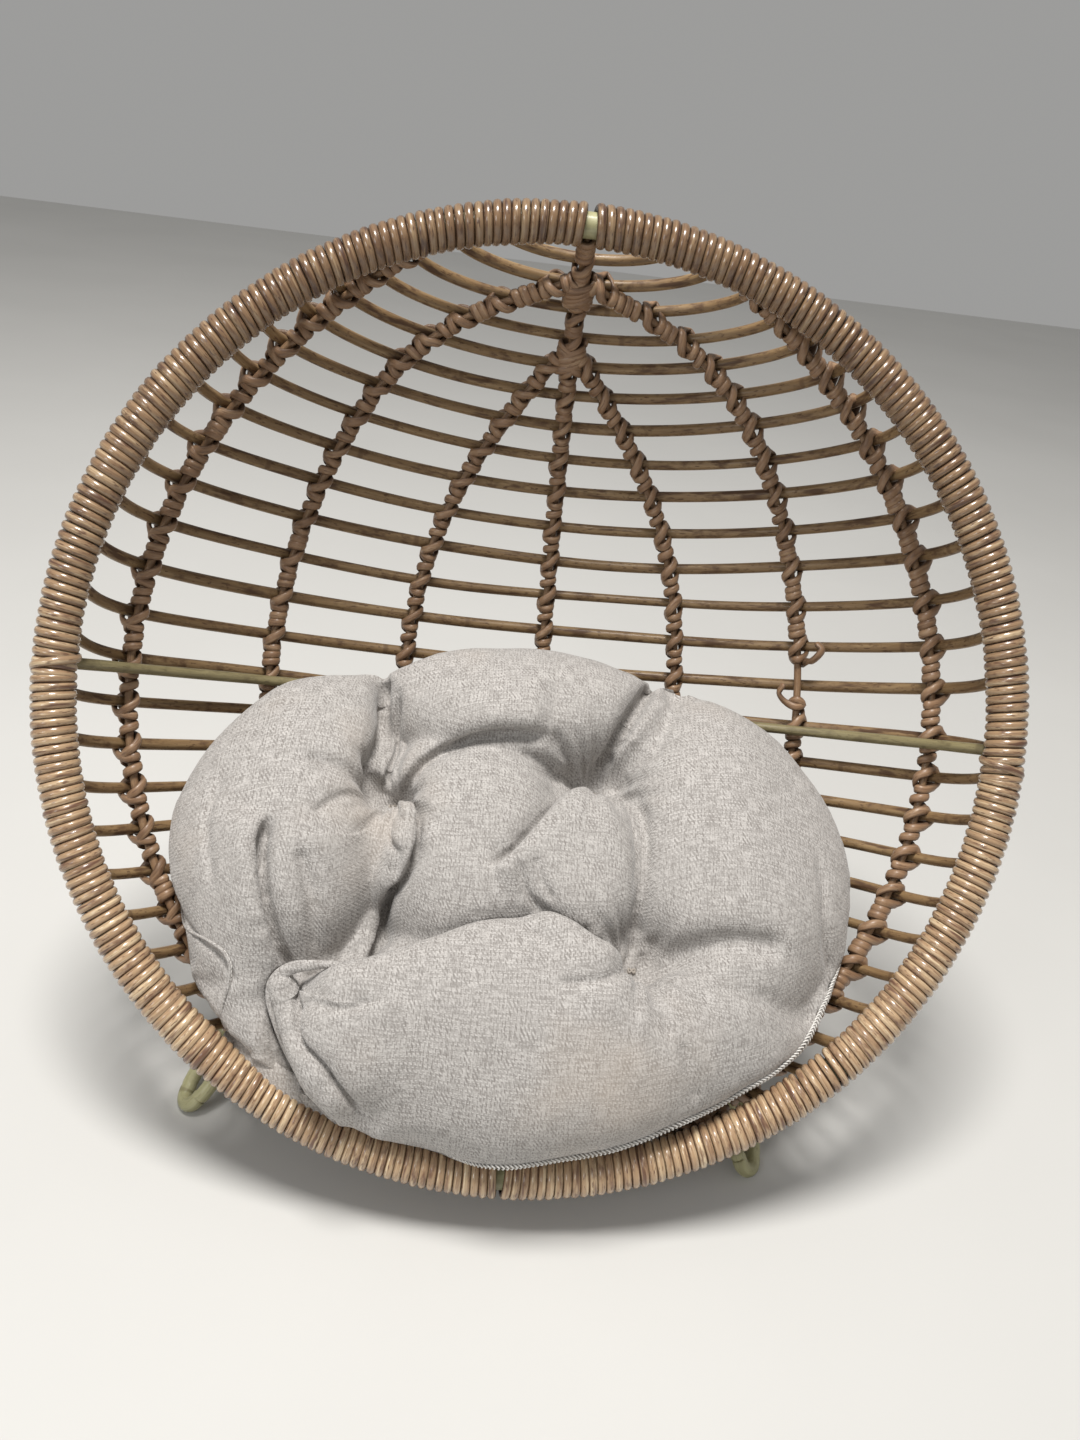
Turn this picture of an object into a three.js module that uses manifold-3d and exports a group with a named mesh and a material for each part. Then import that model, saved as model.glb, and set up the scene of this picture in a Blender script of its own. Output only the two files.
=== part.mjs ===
// Pet bed basket: a half-globe bowl of round rattan cane with a wrapped rim, standing on four
// hairpin feet, and a loose round cushion that lifts out through the opening.
// Lengths are millimetres and angles degrees. The bowl is drawn in its own frame: x to the right,
// y up the opening, z out of the opening, with the middle of the rim at zero.
import * as THREE from "three";
import { mergeVertices } from "three/addons/utils/BufferGeometryUtils.js";
import Module from "manifold-3d";

const manifold = await Module();
manifold.setup();

// Driving dimensions
const RIM_RADIUS = 239;
const RIM_CORE_RADIUS = 6.3;
const RIM_WRAP_RADIUS = 10.9;
const TOP_WINDOW = 5.5;
const BOTTOM_WINDOW = 3.5;
const BOWL_DEPTH = 0.6 * RIM_RADIUS;
const BACK_CROWDING = 0.43;
const LEAN_BACK = 29;
const RIM_HEIGHT = 244;

const CANES_EACH_SIDE = 14;
const CANE_STEP = 5.55;
const CANE_SPREAD = 2.7;
const SPREAD_ROWS = 12;
const MIDDLE_LATITUDE = 0.5;
const LAST_LONG_ROW = 10;
const CANE_RADIUS = 3;
const CANE_OUTBOARD = 4;
const POLE_RADIUS = 2.9;
const POLE_INBOARD = 14.5;

const RIB_CORE_RADIUS = 2.25;
const RIB_WRAP_RADIUS = 4.7;
const RIB_INBOARD = 5.5;
const RIB_JOIN_DISTANCE = 14;
const RIB_STEPS = 14;

const LEG_RADIUS = 4.25;
const LEG_BEND_RADIUS = 7;
const LEG_BELLY = 10;
const LEG_BEND_SHARE = 0.12;
const LEG_TOP_SPREAD = 4.6;
const LEG_BELOW_BOWL = 16;
const SOLE_FLAT = 1.2;
const LASHING_WIDTH = 10;
const LASHING_BELOW_END = 7;
const LASHING_THICKNESS = 2.6;

const CUSHION_HALF_WIDTH = 188;
const CUSHION_HALF_LENGTH = 148;
const CUSHION_HALF_THICKNESS = 52;
const CUSHION_TILT = 25;
const CUSHION_CENTRE = [-4, -99, -49];
const CUSHION_OFF_WALL = 19;
const EDGE_FULLNESS = 0.55;
const FACE_FULLNESS = 0.8;
const COVER_THICKNESS = 2;
const TUFT_RADIUS = 1.6;
const TIE_BLANK_LENGTH = 400;
const TIE_INSET = 1;

const GAP = 0.4;

// How finely each curved form is drawn: steps along it and sides round it
const RIM_CORE_SIDES = 6;
const RIM_CORE_STEPS = 60;
const RIM_WRAP_SIDES = 8;
const RIM_WRAP_STEPS = 30;
const CANE_SIDES = 5;
const LONG_CANE_STEPS = 14;
const SHORT_CANE_STEPS = 8;
const POLE_SIDES = 6;
const POLE_STEPS = 18;
const RIB_SIDES = 6;
const LEG_SIDES = 6;
const LEG_STEPS = 24;
const LASHING_CORNERS = 5;
const CUSHION_AROUND = 20;
const CUSHION_RINGS = 10;
const TIE_SIDES = 6;

// Ribs: longitude over the equator, latitude at which they meet the middle rib or the rim, how
// sharply they turn towards that, and their longitude there
const RIBS = {
  middle: { longitude: 1.5, joinLatitude: 90, sharpness: 1, endLongitude: 0 },
  inner_left: { longitude: -19.5, joinLatitude: 62, sharpness: 3.3, endLongitude: 0 },
  inner_right: { longitude: 22, joinLatitude: 62, sharpness: 3.3, endLongitude: 0 },
  outer_left: { longitude: -41, joinLatitude: 75, sharpness: 8.5, endLongitude: 0 },
  outer_right: { longitude: 42.5, joinLatitude: 75, sharpness: 8.5, endLongitude: 0 },
  side_left: { longitude: -68, joinLatitude: 74, sharpness: 8, endLongitude: -90 },
  side_right: { longitude: 69, joinLatitude: 74, sharpness: 8, endLongitude: 90 },
};

// Each hairpin foot: where it stands (from the middle of the rim) and where it meets the bowl
const LEGS = {
  front_left: { foot: [-172, -58], longitude: -44, latitude: -42 },
  front_right: { foot: [142, -77], longitude: 48, latitude: -47 },
  rear_left: { foot: [-150, 95], longitude: -36, latitude: -24 },
  rear_right: { foot: [150, 95], longitude: 36, latitude: -24 },
};

// Tufting ties, as places on the cushion: [across, along]
const TUFTS = [[0.18, 0.42], [0.2, -0.3], [-0.42, 0.3]];

// Working steps: how far apart a slope is measured, how often a length is halved to find where a
// cane must stop, how near the pole of the bowl a rib may run, and what counts as the same corner
const SLOPE_STEP = 0.5;
const HALVINGS = 30;
const STEEPEST_LATITUDE = 89;
const SAME_CORNER = 1e-4;

const radians = THREE.MathUtils.degToRad;

const FINISHES = {
  rimWrap: { color: 0xb08c70, roughness: 0.45 },
  cane: { color: 0x8c6e46, roughness: 0.6 },
  strand: { color: 0x7d6048, roughness: 0.6 },
  greenCane: { color: 0xa3a06f, roughness: 0.5 },
  fabric: { color: 0xaca39b, roughness: 0.95 },
  filling: { color: 0xf0eee8, roughness: 1 },
  twine: { color: 0xb5aca2, roughness: 0.9 },
};

function makeMesh(name, geometry, finish) {
  const material = new THREE.MeshStandardMaterial({ ...FINISHES[finish], metalness: 0 });
  const mesh = new THREE.Mesh(geometry, material);
  mesh.name = name;
  return mesh;
}

// The bowl's surface: longitude 0 is the middle of the back, latitude 90 the top of the rim.
// The rows crowd together a little towards the back.
function bowlSurface(longitude, latitude) {
  const lon = radians(longitude);
  const lat = radians(latitude);
  const across = Math.sin(lon) * Math.cos(lat);
  const depth = Math.cos(lon) * Math.cos(lat);
  const depthShare = (depth * BOWL_DEPTH) / RIM_RADIUS;
  const up = Math.sin(lat) * (1 - BACK_CROWDING * depthShare ** 2);
  return new THREE.Vector3(RIM_RADIUS * across, RIM_RADIUS * up, -BOWL_DEPTH * depth);
}

// The same point moved off the surface: outboard is positive
function bowlPoint(longitude, latitude, outboard = 0) {
  const alongLon = bowlSurface(longitude + SLOPE_STEP, latitude)
    .sub(bowlSurface(longitude - SLOPE_STEP, latitude));
  const alongLat = bowlSurface(longitude, latitude + SLOPE_STEP)
    .sub(bowlSurface(longitude, latitude - SLOPE_STEP));
  const outward = alongLat.cross(alongLon).normalize();
  return bowlSurface(longitude, latitude).addScaledVector(outward, outboard);
}

function distanceToRim(point) {
  return Math.hypot(Math.hypot(point.x, point.y) - RIM_RADIUS, point.z);
}

// A curve given by a function of 0 to 1
class FreeCurve extends THREE.Curve {
  constructor(pointAt) {
    super();
    this.pointAt = pointAt;
  }

  getPoint(t) {
    return this.pointAt(t);
  }
}

function roundSection(radius, sides, holeRadius = 0) {
  const shape = new THREE.Shape(polygonPoints(radius, sides));
  if (holeRadius > 0) {
    shape.holes.push(new THREE.Path(polygonPoints(holeRadius, sides)));
  }
  return shape;
}

// Corners lie on the given radius, a half step round so that sides face along the axes
function polygonPoints(radius, sides) {
  const points = [];
  for (let i = 0; i < sides; i += 1) {
    const angle = ((i + 0.5) / sides) * 2 * Math.PI;
    points.push(new THREE.Vector2(radius * Math.cos(angle), radius * Math.sin(angle)));
  }
  return points;
}

function tube(curve, steps, section) {
  return new THREE.ExtrudeGeometry(section, { steps, bevelEnabled: false, extrudePath: curve });
}

// The largest t between inside (clear) and outside (touching) that is still clear
function lastClear(inside, outside, isClear) {
  let clear = inside;
  let touching = outside;
  for (let i = 0; i < HALVINGS; i += 1) {
    const middle = (clear + touching) / 2;
    if (isClear(middle)) clear = middle;
    else touching = middle;
  }
  return clear;
}

// ---- Rim: a bent pole, and one long wrapping of round cane in two runs --------------------

function makeRim() {
  const core = new THREE.TorusGeometry(
    RIM_RADIUS, RIM_CORE_RADIUS, RIM_CORE_SIDES, RIM_CORE_STEPS,
  );
  const rim = new THREE.Group();
  rim.add(makeMesh("rim_core", core, "greenCane"));
  const runs = { left: [90, 270], right: [-90, 90] };
  for (const [side, [from, to]] of Object.entries(runs)) {
    const startWindow = side === "left" ? TOP_WINDOW : BOTTOM_WINDOW;
    const endWindow = side === "left" ? BOTTOM_WINDOW : TOP_WINDOW;
    const start = radians(from) + startWindow / 2 / RIM_RADIUS;
    const end = radians(to) - endWindow / 2 / RIM_RADIUS;
    const arc = new FreeCurve((t) => {
      const angle = start + (end - start) * t;
      return new THREE.Vector3(RIM_RADIUS * Math.cos(angle), RIM_RADIUS * Math.sin(angle), 0);
    });
    const sleeve = roundSection(RIM_WRAP_RADIUS, RIM_WRAP_SIDES, RIM_CORE_RADIUS + 3 * GAP);
    rim.add(makeMesh(`rim_wrap_${side}`, tube(arc, RIM_WRAP_STEPS, sleeve), "rimWrap"));
  }
  return rim;
}

// ---- Canes: the level hoops of the bowl, outside the ribs ---------------------------------

function caneLatitude(row) {
  const spreads = row > 0 && row < SPREAD_ROWS;
  const spread = spreads ? CANE_SPREAD * Math.sin((row / SPREAD_ROWS) * Math.PI) : 0;
  return MIDDLE_LATITUDE + CANE_STEP * row + spread;
}

// A hoop along one latitude, ending just short of the rim's wrapping
function hoopCurve(latitude, outboard, radius) {
  const clearance = RIM_WRAP_RADIUS + radius + GAP;
  const isClear = (longitude) =>
    distanceToRim(bowlPoint(longitude, latitude, outboard)) > clearance;
  const reach = lastClear(0, 90, isClear);
  return new FreeCurve((t) => bowlPoint(reach * (2 * t - 1), latitude, outboard));
}

function caneName(row) {
  if (row === 0) return "cane_middle";
  const side = row > 0 ? "up" : "down";
  return `cane_${side}_${String(Math.abs(row)).padStart(2, "0")}`;
}

function makeCanes() {
  const canes = new THREE.Group();
  const section = roundSection(CANE_RADIUS, CANE_SIDES);
  for (let row = -CANES_EACH_SIDE; row <= CANES_EACH_SIDE; row += 1) {
    const curve = hoopCurve(caneLatitude(row), CANE_OUTBOARD, CANE_RADIUS);
    const steps = Math.abs(row) > LAST_LONG_ROW ? SHORT_CANE_STEPS : LONG_CANE_STEPS;
    canes.add(makeMesh(caneName(row), tube(curve, steps, section), "cane"));
  }
  const poleCurve = hoopCurve(caneLatitude(0), -POLE_INBOARD, POLE_RADIUS);
  const pole = tube(poleCurve, POLE_STEPS, roundSection(POLE_RADIUS, POLE_SIDES));
  canes.add(makeMesh("equator_pole", pole, "greenCane"));
  return canes;
}

// ---- Ribs: from the bottom of the rim to the top, each a core cane in a wound strand ------

function ribLongitude(rib, latitude) {
  const share = Math.min(Math.abs(latitude) / rib.joinLatitude, 1);
  return rib.longitude + (rib.endLongitude - rib.longitude) * share ** rib.sharpness;
}

// A rib ends short of the rim, or short of the middle rib that it joins
function ribCurve(rib) {
  const place = (latitude) => bowlPoint(ribLongitude(rib, latitude), latitude, -RIB_INBOARD);
  const clearance = RIM_WRAP_RADIUS + RIB_WRAP_RADIUS + GAP;
  const isClear = (latitude) => {
    const point = place(latitude);
    const joins = rib.endLongitude === 0 && rib !== RIBS.middle;
    return distanceToRim(point) > clearance && !(joins && Math.abs(point.x) < RIB_JOIN_DISTANCE);
  };
  const reach = lastClear(0, STEEPEST_LATITUDE, isClear);
  return new FreeCurve((t) => place(reach * (2 * t - 1)));
}

function makeRib(name, rib) {
  const curve = ribCurve(rib);
  const core = roundSection(RIB_CORE_RADIUS, CANE_SIDES);
  const sleeve = roundSection(RIB_WRAP_RADIUS, RIB_SIDES, RIB_CORE_RADIUS + 2 * GAP);
  const group = new THREE.Group();
  group.add(makeMesh(`rib_core_${name}`, tube(curve, RIB_STEPS, core), "cane"));
  group.add(makeMesh(`rib_wrap_${name}`, tube(curve, RIB_STEPS, sleeve), "strand"));
  return group;
}

function makeRibs() {
  const ribs = new THREE.Group();
  for (const [name, rib] of Object.entries(RIBS)) {
    ribs.add(makeRib(name, rib));
  }
  return ribs;
}

// ---- Feet: a hairpin of bent cane under the bowl, its two ends bound side by side ---------

// One half of a hairpin, from the middle of the bend up to its end, in the hairpin's own frame:
// x across, z along. The bend is a half circle, the shafts belly out and close up at the top.
function hairpinPoint(share, length) {
  if (share < LEG_BEND_SHARE) {
    const angle = (share / LEG_BEND_SHARE) * (Math.PI / 2);
    const across = LEG_BEND_RADIUS * Math.sin(angle);
    return [across, LEG_BEND_RADIUS * (1 - Math.cos(angle))];
  }
  const up = (share - LEG_BEND_SHARE) / (1 - LEG_BEND_SHARE);
  const close = LEG_BEND_RADIUS + (LEG_TOP_SPREAD - LEG_BEND_RADIUS) * up;
  const belly = (LEG_BELLY - LEG_BEND_RADIUS) * Math.sin(Math.PI * Math.sqrt(up));
  return [close + belly, LEG_BEND_RADIUS + (length - LEG_BEND_RADIUS) * up];
}

function toManifold(geometry) {
  const plain = geometry.clone();
  plain.deleteAttribute("normal");
  plain.deleteAttribute("uv");
  const merged = mergeVertices(plain, SAME_CORNER);
  return new manifold.Manifold(new manifold.Mesh({
    numProp: 3,
    vertProperties: Float32Array.from(merged.attributes.position.array),
    triVerts: Uint32Array.from(merged.index.array),
  }));
}

function fromManifold(solid) {
  const mesh = solid.getMesh();
  const geometry = new THREE.BufferGeometry();
  geometry.setAttribute("position", new THREE.BufferAttribute(mesh.vertProperties, 3));
  geometry.setIndex(new THREE.BufferAttribute(mesh.triVerts, 1));
  geometry.computeVertexNormals();
  return geometry;
}

// The hairpin's frame: z runs from the foot up to the bowl, and x lies along the bowl's side
function hairpinFrame(foot, top) {
  const along = top.clone().sub(foot);
  const length = along.length();
  along.normalize();
  const across = new THREE.Vector3(foot.y, -foot.x, 0).normalize();
  across.addScaledVector(along, -across.dot(along)).normalize();
  const thick = along.clone().cross(across);
  const matrix = new THREE.Matrix4().makeBasis(across, thick, along).setPosition(foot);
  return { matrix, length };
}

function makeLeg(name, leg, bowlMatrix) {
  const foot = new THREE.Vector3(leg.foot[0], leg.foot[1], LEG_RADIUS - SOLE_FLAT - RIM_HEIGHT);
  const top = bowlPoint(leg.longitude, leg.latitude, LEG_BELOW_BOWL).applyMatrix4(bowlMatrix);
  const { matrix, length } = hairpinFrame(foot, top);
  const curve = new FreeCurve((t) => {
    const [across, along] = hairpinPoint(Math.abs(2 * t - 1), length);
    return new THREE.Vector3(Math.sign(2 * t - 1) * across, 0, along).applyMatrix4(matrix);
  });
  const bent = toManifold(tube(curve, LEG_STEPS, roundSection(LEG_RADIUS, LEG_SIDES)));
  const flatSoled = bent.trimByPlane([0, 0, 1], -RIM_HEIGHT);
  const group = new THREE.Group();
  group.add(makeMesh(`leg_${name}`, fromManifold(flatSoled), "greenCane"));
  group.add(makeMesh(`leg_lashing_${name}`, lashingGeometry(matrix, length), "strand"));
  return group;
}

// A band round both ends of the hairpin
function lashingGeometry(matrix, length) {
  const hole = LEG_RADIUS + 3 * GAP;
  const outline = stadium(LEG_TOP_SPREAD + 1, hole + LASHING_THICKNESS);
  outline.holes.push(stadium(LEG_TOP_SPREAD + 1, hole));
  const band = new THREE.ExtrudeGeometry(outline, { depth: LASHING_WIDTH, bevelEnabled: false });
  band.translate(0, 0, length - LASHING_WIDTH - LASHING_BELOW_END);
  return band.applyMatrix4(matrix);
}

function stadium(halfLength, radius) {
  const points = [];
  for (const side of [1, -1]) {
    for (let i = 0; i <= LASHING_CORNERS; i += 1) {
      const angle = radians(-90 + (i / LASHING_CORNERS) * 180);
      points.push(new THREE.Vector2(
        side * (halfLength + radius * Math.cos(angle)),
        side * radius * Math.sin(angle),
      ));
    }
  }
  return new THREE.Shape(points);
}

// ---- Cushion: a round cover with its filling, tied through in a few places ----------------

// Draws a point back inside the bowl's wall
function insideBowl(point, offWall) {
  const radius = RIM_RADIUS - offWall;
  const depth = BOWL_DEPTH - offWall;
  const crowding = 1 - BACK_CROWDING * (point.z / RIM_RADIUS) ** 2;
  const deep = Math.min(point.z, 0) / depth;
  const reach = Math.hypot(point.x / radius, point.y / (radius * crowding), deep);
  return reach > 1 ? point.multiplyScalar(1 / reach) : point;
}

// The cushion's closed surface, a flattened round form laid in the bowl. Inset makes the same
// form smaller all round, for the inside of the cover and for the filling.
function cushionPoint(turn, rise, inset) {
  const edge = Math.cos(rise) ** EDGE_FULLNESS;
  const lift = Math.sign(Math.sin(rise)) * Math.abs(Math.sin(rise)) ** FACE_FULLNESS;
  const point = new THREE.Vector3(
    (CUSHION_HALF_WIDTH - inset) * edge * Math.cos(turn),
    (CUSHION_HALF_LENGTH - inset) * edge * Math.sin(turn),
    (CUSHION_HALF_THICKNESS - inset) * lift,
  );
  point.applyAxisAngle(new THREE.Vector3(1, 0, 0), -radians(CUSHION_TILT));
  point.add(new THREE.Vector3(...CUSHION_CENTRE));
  return insideBowl(point, CUSHION_OFF_WALL + inset);
}

function cushionGeometry(inset) {
  const around = CUSHION_AROUND;
  const rings = CUSHION_RINGS;
  const vertices = [...cushionPoint(0, Math.PI / 2, inset).toArray()];
  for (let ring = 1; ring < rings; ring += 1) {
    for (let i = 0; i < around; i += 1) {
      const rise = Math.PI / 2 - (ring / rings) * Math.PI;
      vertices.push(...cushionPoint((i / around) * 2 * Math.PI, rise, inset).toArray());
    }
  }
  vertices.push(...cushionPoint(0, -Math.PI / 2, inset).toArray());
  const last = vertices.length / 3 - 1;
  const at = (ring, i) => 1 + (ring - 1) * around + (i % around);
  const triangles = [];
  for (let i = 0; i < around; i += 1) {
    triangles.push(0, at(1, i), at(1, i + 1));
    for (let ring = 1; ring < rings - 1; ring += 1) {
      triangles.push(at(ring, i), at(ring + 1, i), at(ring + 1, i + 1));
      triangles.push(at(ring, i), at(ring + 1, i + 1), at(ring, i + 1));
    }
    triangles.push(last, at(rings - 1, i + 1), at(rings - 1, i));
  }
  const geometry = new THREE.BufferGeometry();
  geometry.setAttribute("position", new THREE.Float32BufferAttribute(vertices, 3));
  geometry.setIndex(triangles);
  return geometry;
}

// A tie straight through the cushion, square to its face
function tiePost([across, along], radius, length) {
  const post = new THREE.CylinderGeometry(radius, radius, length, TIE_SIDES);
  post.rotateX(Math.PI / 2);
  post.translate(across * CUSHION_HALF_WIDTH, along * CUSHION_HALF_LENGTH, 0);
  post.rotateX(-radians(CUSHION_TILT));
  return post.translate(...CUSHION_CENTRE);
}

function makeCushion() {
  let cover = toManifold(cushionGeometry(0)).subtract(toManifold(cushionGeometry(COVER_THICKNESS)));
  let filling = toManifold(cushionGeometry(COVER_THICKNESS + GAP));
  const body = toManifold(cushionGeometry(TIE_INSET));
  const cushion = new THREE.Group();
  TUFTS.forEach((place, index) => {
    const needleHole = toManifold(tiePost(place, TUFT_RADIUS + GAP, TIE_BLANK_LENGTH));
    cover = cover.subtract(needleHole);
    filling = filling.subtract(needleHole);
    const tie = toManifold(tiePost(place, TUFT_RADIUS, TIE_BLANK_LENGTH)).intersect(body);
    cushion.add(makeMesh(`tuft_tie_${index + 1}`, fromManifold(tie), "twine"));
  });
  cushion.add(makeMesh("cushion_cover", fromManifold(cover), "fabric"));
  cushion.add(makeMesh("cushion_filling", fromManifold(filling), "filling"));
  return cushion;
}

// ---- The whole bed, standing on the floor with its origin under the middle of its box -----

function buildBed() {
  const bowl = new THREE.Group();
  bowl.rotation.x = radians(90 - LEAN_BACK);
  bowl.add(makeRim(), makeCanes(), makeRibs(), makeCushion());
  bowl.updateMatrixWorld(true);
  const bed = new THREE.Group();
  bed.add(bowl);
  for (const [name, leg] of Object.entries(LEGS)) {
    bed.add(makeLeg(name, leg, bowl.matrixWorld));
  }
  bed.updateMatrixWorld(true);
  const box = new THREE.Box3().setFromObject(bed, true);
  bed.position.set(0, -(box.min.y + box.max.y) / 2, -box.min.z);
  return bed;
}

export default buildBed();
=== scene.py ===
# %% [markdown]
# # A cane pet bed and its loose cushion
# The real bed is basket work. A pole is bent into the rim and wrapped in round cane, level hoops of
# cane run from one side of the rim to the other, ribs stand inside them, and one long strand ties
# every rib to every hoop. Four hairpins of green cane are its feet. The cushion is a separate
# thing that lifts out. Each of those is built here as its own piece, in metres, around the CAD
# model, which is loaded first and never moved.

# %% Load the fixed frame
import math

import bpy
import numpy as np
from mathutils import Matrix, Vector
from mathutils.bvhtree import BVHTree


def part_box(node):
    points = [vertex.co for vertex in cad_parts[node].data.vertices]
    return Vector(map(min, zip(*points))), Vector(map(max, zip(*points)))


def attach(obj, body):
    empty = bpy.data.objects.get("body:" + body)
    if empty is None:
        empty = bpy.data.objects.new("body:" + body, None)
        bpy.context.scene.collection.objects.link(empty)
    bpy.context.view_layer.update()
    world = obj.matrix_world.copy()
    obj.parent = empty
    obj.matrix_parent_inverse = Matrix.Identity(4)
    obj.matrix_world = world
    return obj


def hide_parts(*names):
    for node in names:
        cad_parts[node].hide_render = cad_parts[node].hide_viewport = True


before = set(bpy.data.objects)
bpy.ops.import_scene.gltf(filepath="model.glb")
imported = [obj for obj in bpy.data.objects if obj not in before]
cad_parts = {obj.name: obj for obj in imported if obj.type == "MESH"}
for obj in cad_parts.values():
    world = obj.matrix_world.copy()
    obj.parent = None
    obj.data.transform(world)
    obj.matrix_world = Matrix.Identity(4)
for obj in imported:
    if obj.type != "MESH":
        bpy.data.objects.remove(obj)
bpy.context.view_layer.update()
MM = 0.001
GRAIN_SPAN = 50  # how far apart along the cane's pattern two canes may start

# %% [markdown]
# ## The bowl's own frame
# A basket is easiest to draw in the frame of its opening: x to the right, y up the opening and
# z out of it. The middle of the rim comes from the CAD's rim pole, so everything below lands
# where the CAD says. The bowl is half of a flattened globe, read like a map: longitude 0 is the
# middle of the back and latitude 90 the top of the rim.

# %% Rim and bowl measures
RIM_POLE_RADIUS = 6.3 * MM
rim_low, rim_high = (np.array(corner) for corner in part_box("rim_core"))
RIM_MIDDLE = (rim_low + rim_high) / 2
RIM_RADIUS = (rim_high[0] - rim_low[0]) / 2 - RIM_POLE_RADIUS
BOWL_DEPTH = 0.6 * RIM_RADIUS
BACK_CROWDING = 0.43
LEAN_BACK = math.radians(29)
BOWL_AXES = np.array([
    [1, 0, 0],
    [0, math.sin(LEAN_BACK), math.cos(LEAN_BACK)],
    [0, -math.cos(LEAN_BACK), math.sin(LEAN_BACK)],
])


def to_room(points):
    """Points in the bowl's frame, put where they stand in the room."""
    return RIM_MIDDLE + np.asarray(points, float) @ BOWL_AXES


def unit(vectors):
    return vectors / np.maximum(np.linalg.norm(vectors, axis=-1, keepdims=True), 1e-12)


def smooth(share):
    share = np.clip(share, 0, 1)
    return share * share * (3 - 2 * share)


print("rim middle", RIM_MIDDLE.round(4), "radius", round(RIM_RADIUS, 4))

# %% Points on the bowl
LOOK_STEP = 0.5


def bowl_surface(longitude, latitude):
    lon, lat = np.radians(longitude), np.radians(latitude)
    across, depth = np.sin(lon) * np.cos(lat), np.cos(lon) * np.cos(lat)
    crowding = 1 - BACK_CROWDING * (depth * BOWL_DEPTH / RIM_RADIUS) ** 2
    up = np.sin(lat) * crowding
    return np.stack([RIM_RADIUS * across, RIM_RADIUS * up, -BOWL_DEPTH * depth], -1)


def bowl_outward(longitude, latitude):
    """The direction out of the bowl's wall."""
    along_lon = (bowl_surface(longitude + LOOK_STEP, latitude)
                 - bowl_surface(longitude - LOOK_STEP, latitude))
    along_lat = (bowl_surface(longitude, latitude + LOOK_STEP)
                 - bowl_surface(longitude, latitude - LOOK_STEP))
    return unit(np.cross(along_lat, along_lon))


def bowl_point(longitude, latitude, outboard=0.0):
    """Points on the wall, or off it: outboard is positive, towards the inside is negative."""
    longitude, latitude = np.broadcast_arrays(
        np.asarray(longitude, float), np.asarray(latitude, float))
    off = np.asarray(outboard)[..., None] * bowl_outward(longitude, latitude)
    return bowl_surface(longitude, latitude) + off


def distance_to_rim(point):
    """How far points in the bowl's frame are from the line round which the rim is wrapped."""
    flat = np.hypot(point[..., 0], point[..., 1]) - RIM_RADIUS
    return np.hypot(flat, point[..., 2])


print("deepest point of the bowl", bowl_point(0, 0).round(3))

# %% [markdown]
# ## The camera and the room
# The bed stands on a plain pale floor under a wide soft lamp from above and a weaker one from the
# front, as in an ordinary room. The camera looks down into the bowl, a little rolled, with the
# wide lens of a hand-held snapshot. It comes first so that everything after it can be judged.

# %% Camera
CAMERA_FROM_RIM = np.array([-38.9, -471.1, 263.9]) * MM
CAMERA_RIGHT = (0.9932, -0.0126, 0.1157)
CAMERA_UP = (-0.0936, 0.5046, 0.8583)
LENS = 27.05

camera_data = bpy.data.cameras.new("snapshot")
camera_data.lens = LENS
camera_data.sensor_width = 36
camera_data.clip_start, camera_data.clip_end = 0.01, 50
camera = bpy.data.objects.new("snapshot", camera_data)
camera_right = Vector(CAMERA_RIGHT).normalized()
camera_back = camera_right.cross(Vector(CAMERA_UP)).normalized()
camera_up = camera_back.cross(camera_right)
camera.matrix_world = Matrix.Translation(RIM_MIDDLE + CAMERA_FROM_RIM) @ Matrix(
    (camera_right, camera_up, camera_back)).transposed().to_4x4()
bpy.context.scene.collection.objects.link(camera)
bpy.context.scene.camera = camera
print("camera at", [round(c, 3) for c in camera.location])

# %% Floor, walls of light
FLOOR_SIZE = 7.0


def soft_lamp(name, place, aim, size, watts, colour):
    data = bpy.data.lights.new(name, "AREA")
    data.shape, data.size, data.energy, data.color = "DISK", size, watts, colour
    lamp = bpy.data.objects.new(name, data)
    lamp.location = place
    lamp.rotation_euler = (Vector(aim) - Vector(place)).to_track_quat("-Z", "Y").to_euler()
    bpy.context.scene.collection.objects.link(lamp)


soft_lamp("ceiling_lamp", (-0.2, -0.25, 2.3), (0, -0.05, 0.2), 0.7, 60, (1.0, 0.98, 0.95))
soft_lamp("window_light", (-1.6, -1.7, 1.4), (0, 0, 0.25), 0.9, 12, (0.95, 0.98, 1.0))
world = bpy.data.worlds.new("pale_room")
bpy.context.scene.world = world
world.use_nodes = True
world.node_tree.nodes["Background"].inputs["Color"].default_value = (0.80, 0.795, 0.78, 1)
world.node_tree.nodes["Background"].inputs["Strength"].default_value = 0.42
bpy.context.scene.view_settings.view_transform = "Standard"
half = FLOOR_SIZE / 2
floor_mesh = bpy.data.meshes.new("pale_floor")
floor_mesh.from_pydata(
    [(-half, -half, 0), (half, -half, 0), (half, half, 0), (-half, half, 0)], [], [(0, 1, 2, 3)])
floor = bpy.data.objects.new("pale_floor", floor_mesh)
bpy.context.scene.collection.objects.link(floor)
print("floor", FLOOR_SIZE, "m across")

# %% [markdown]
# ## Materials: a small kit for node trees
# Every finish is procedural. These few helpers keep the node trees readable: `Recipe` adds a node
# with its settings and links in one line, and does arithmetic on sockets.

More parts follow.
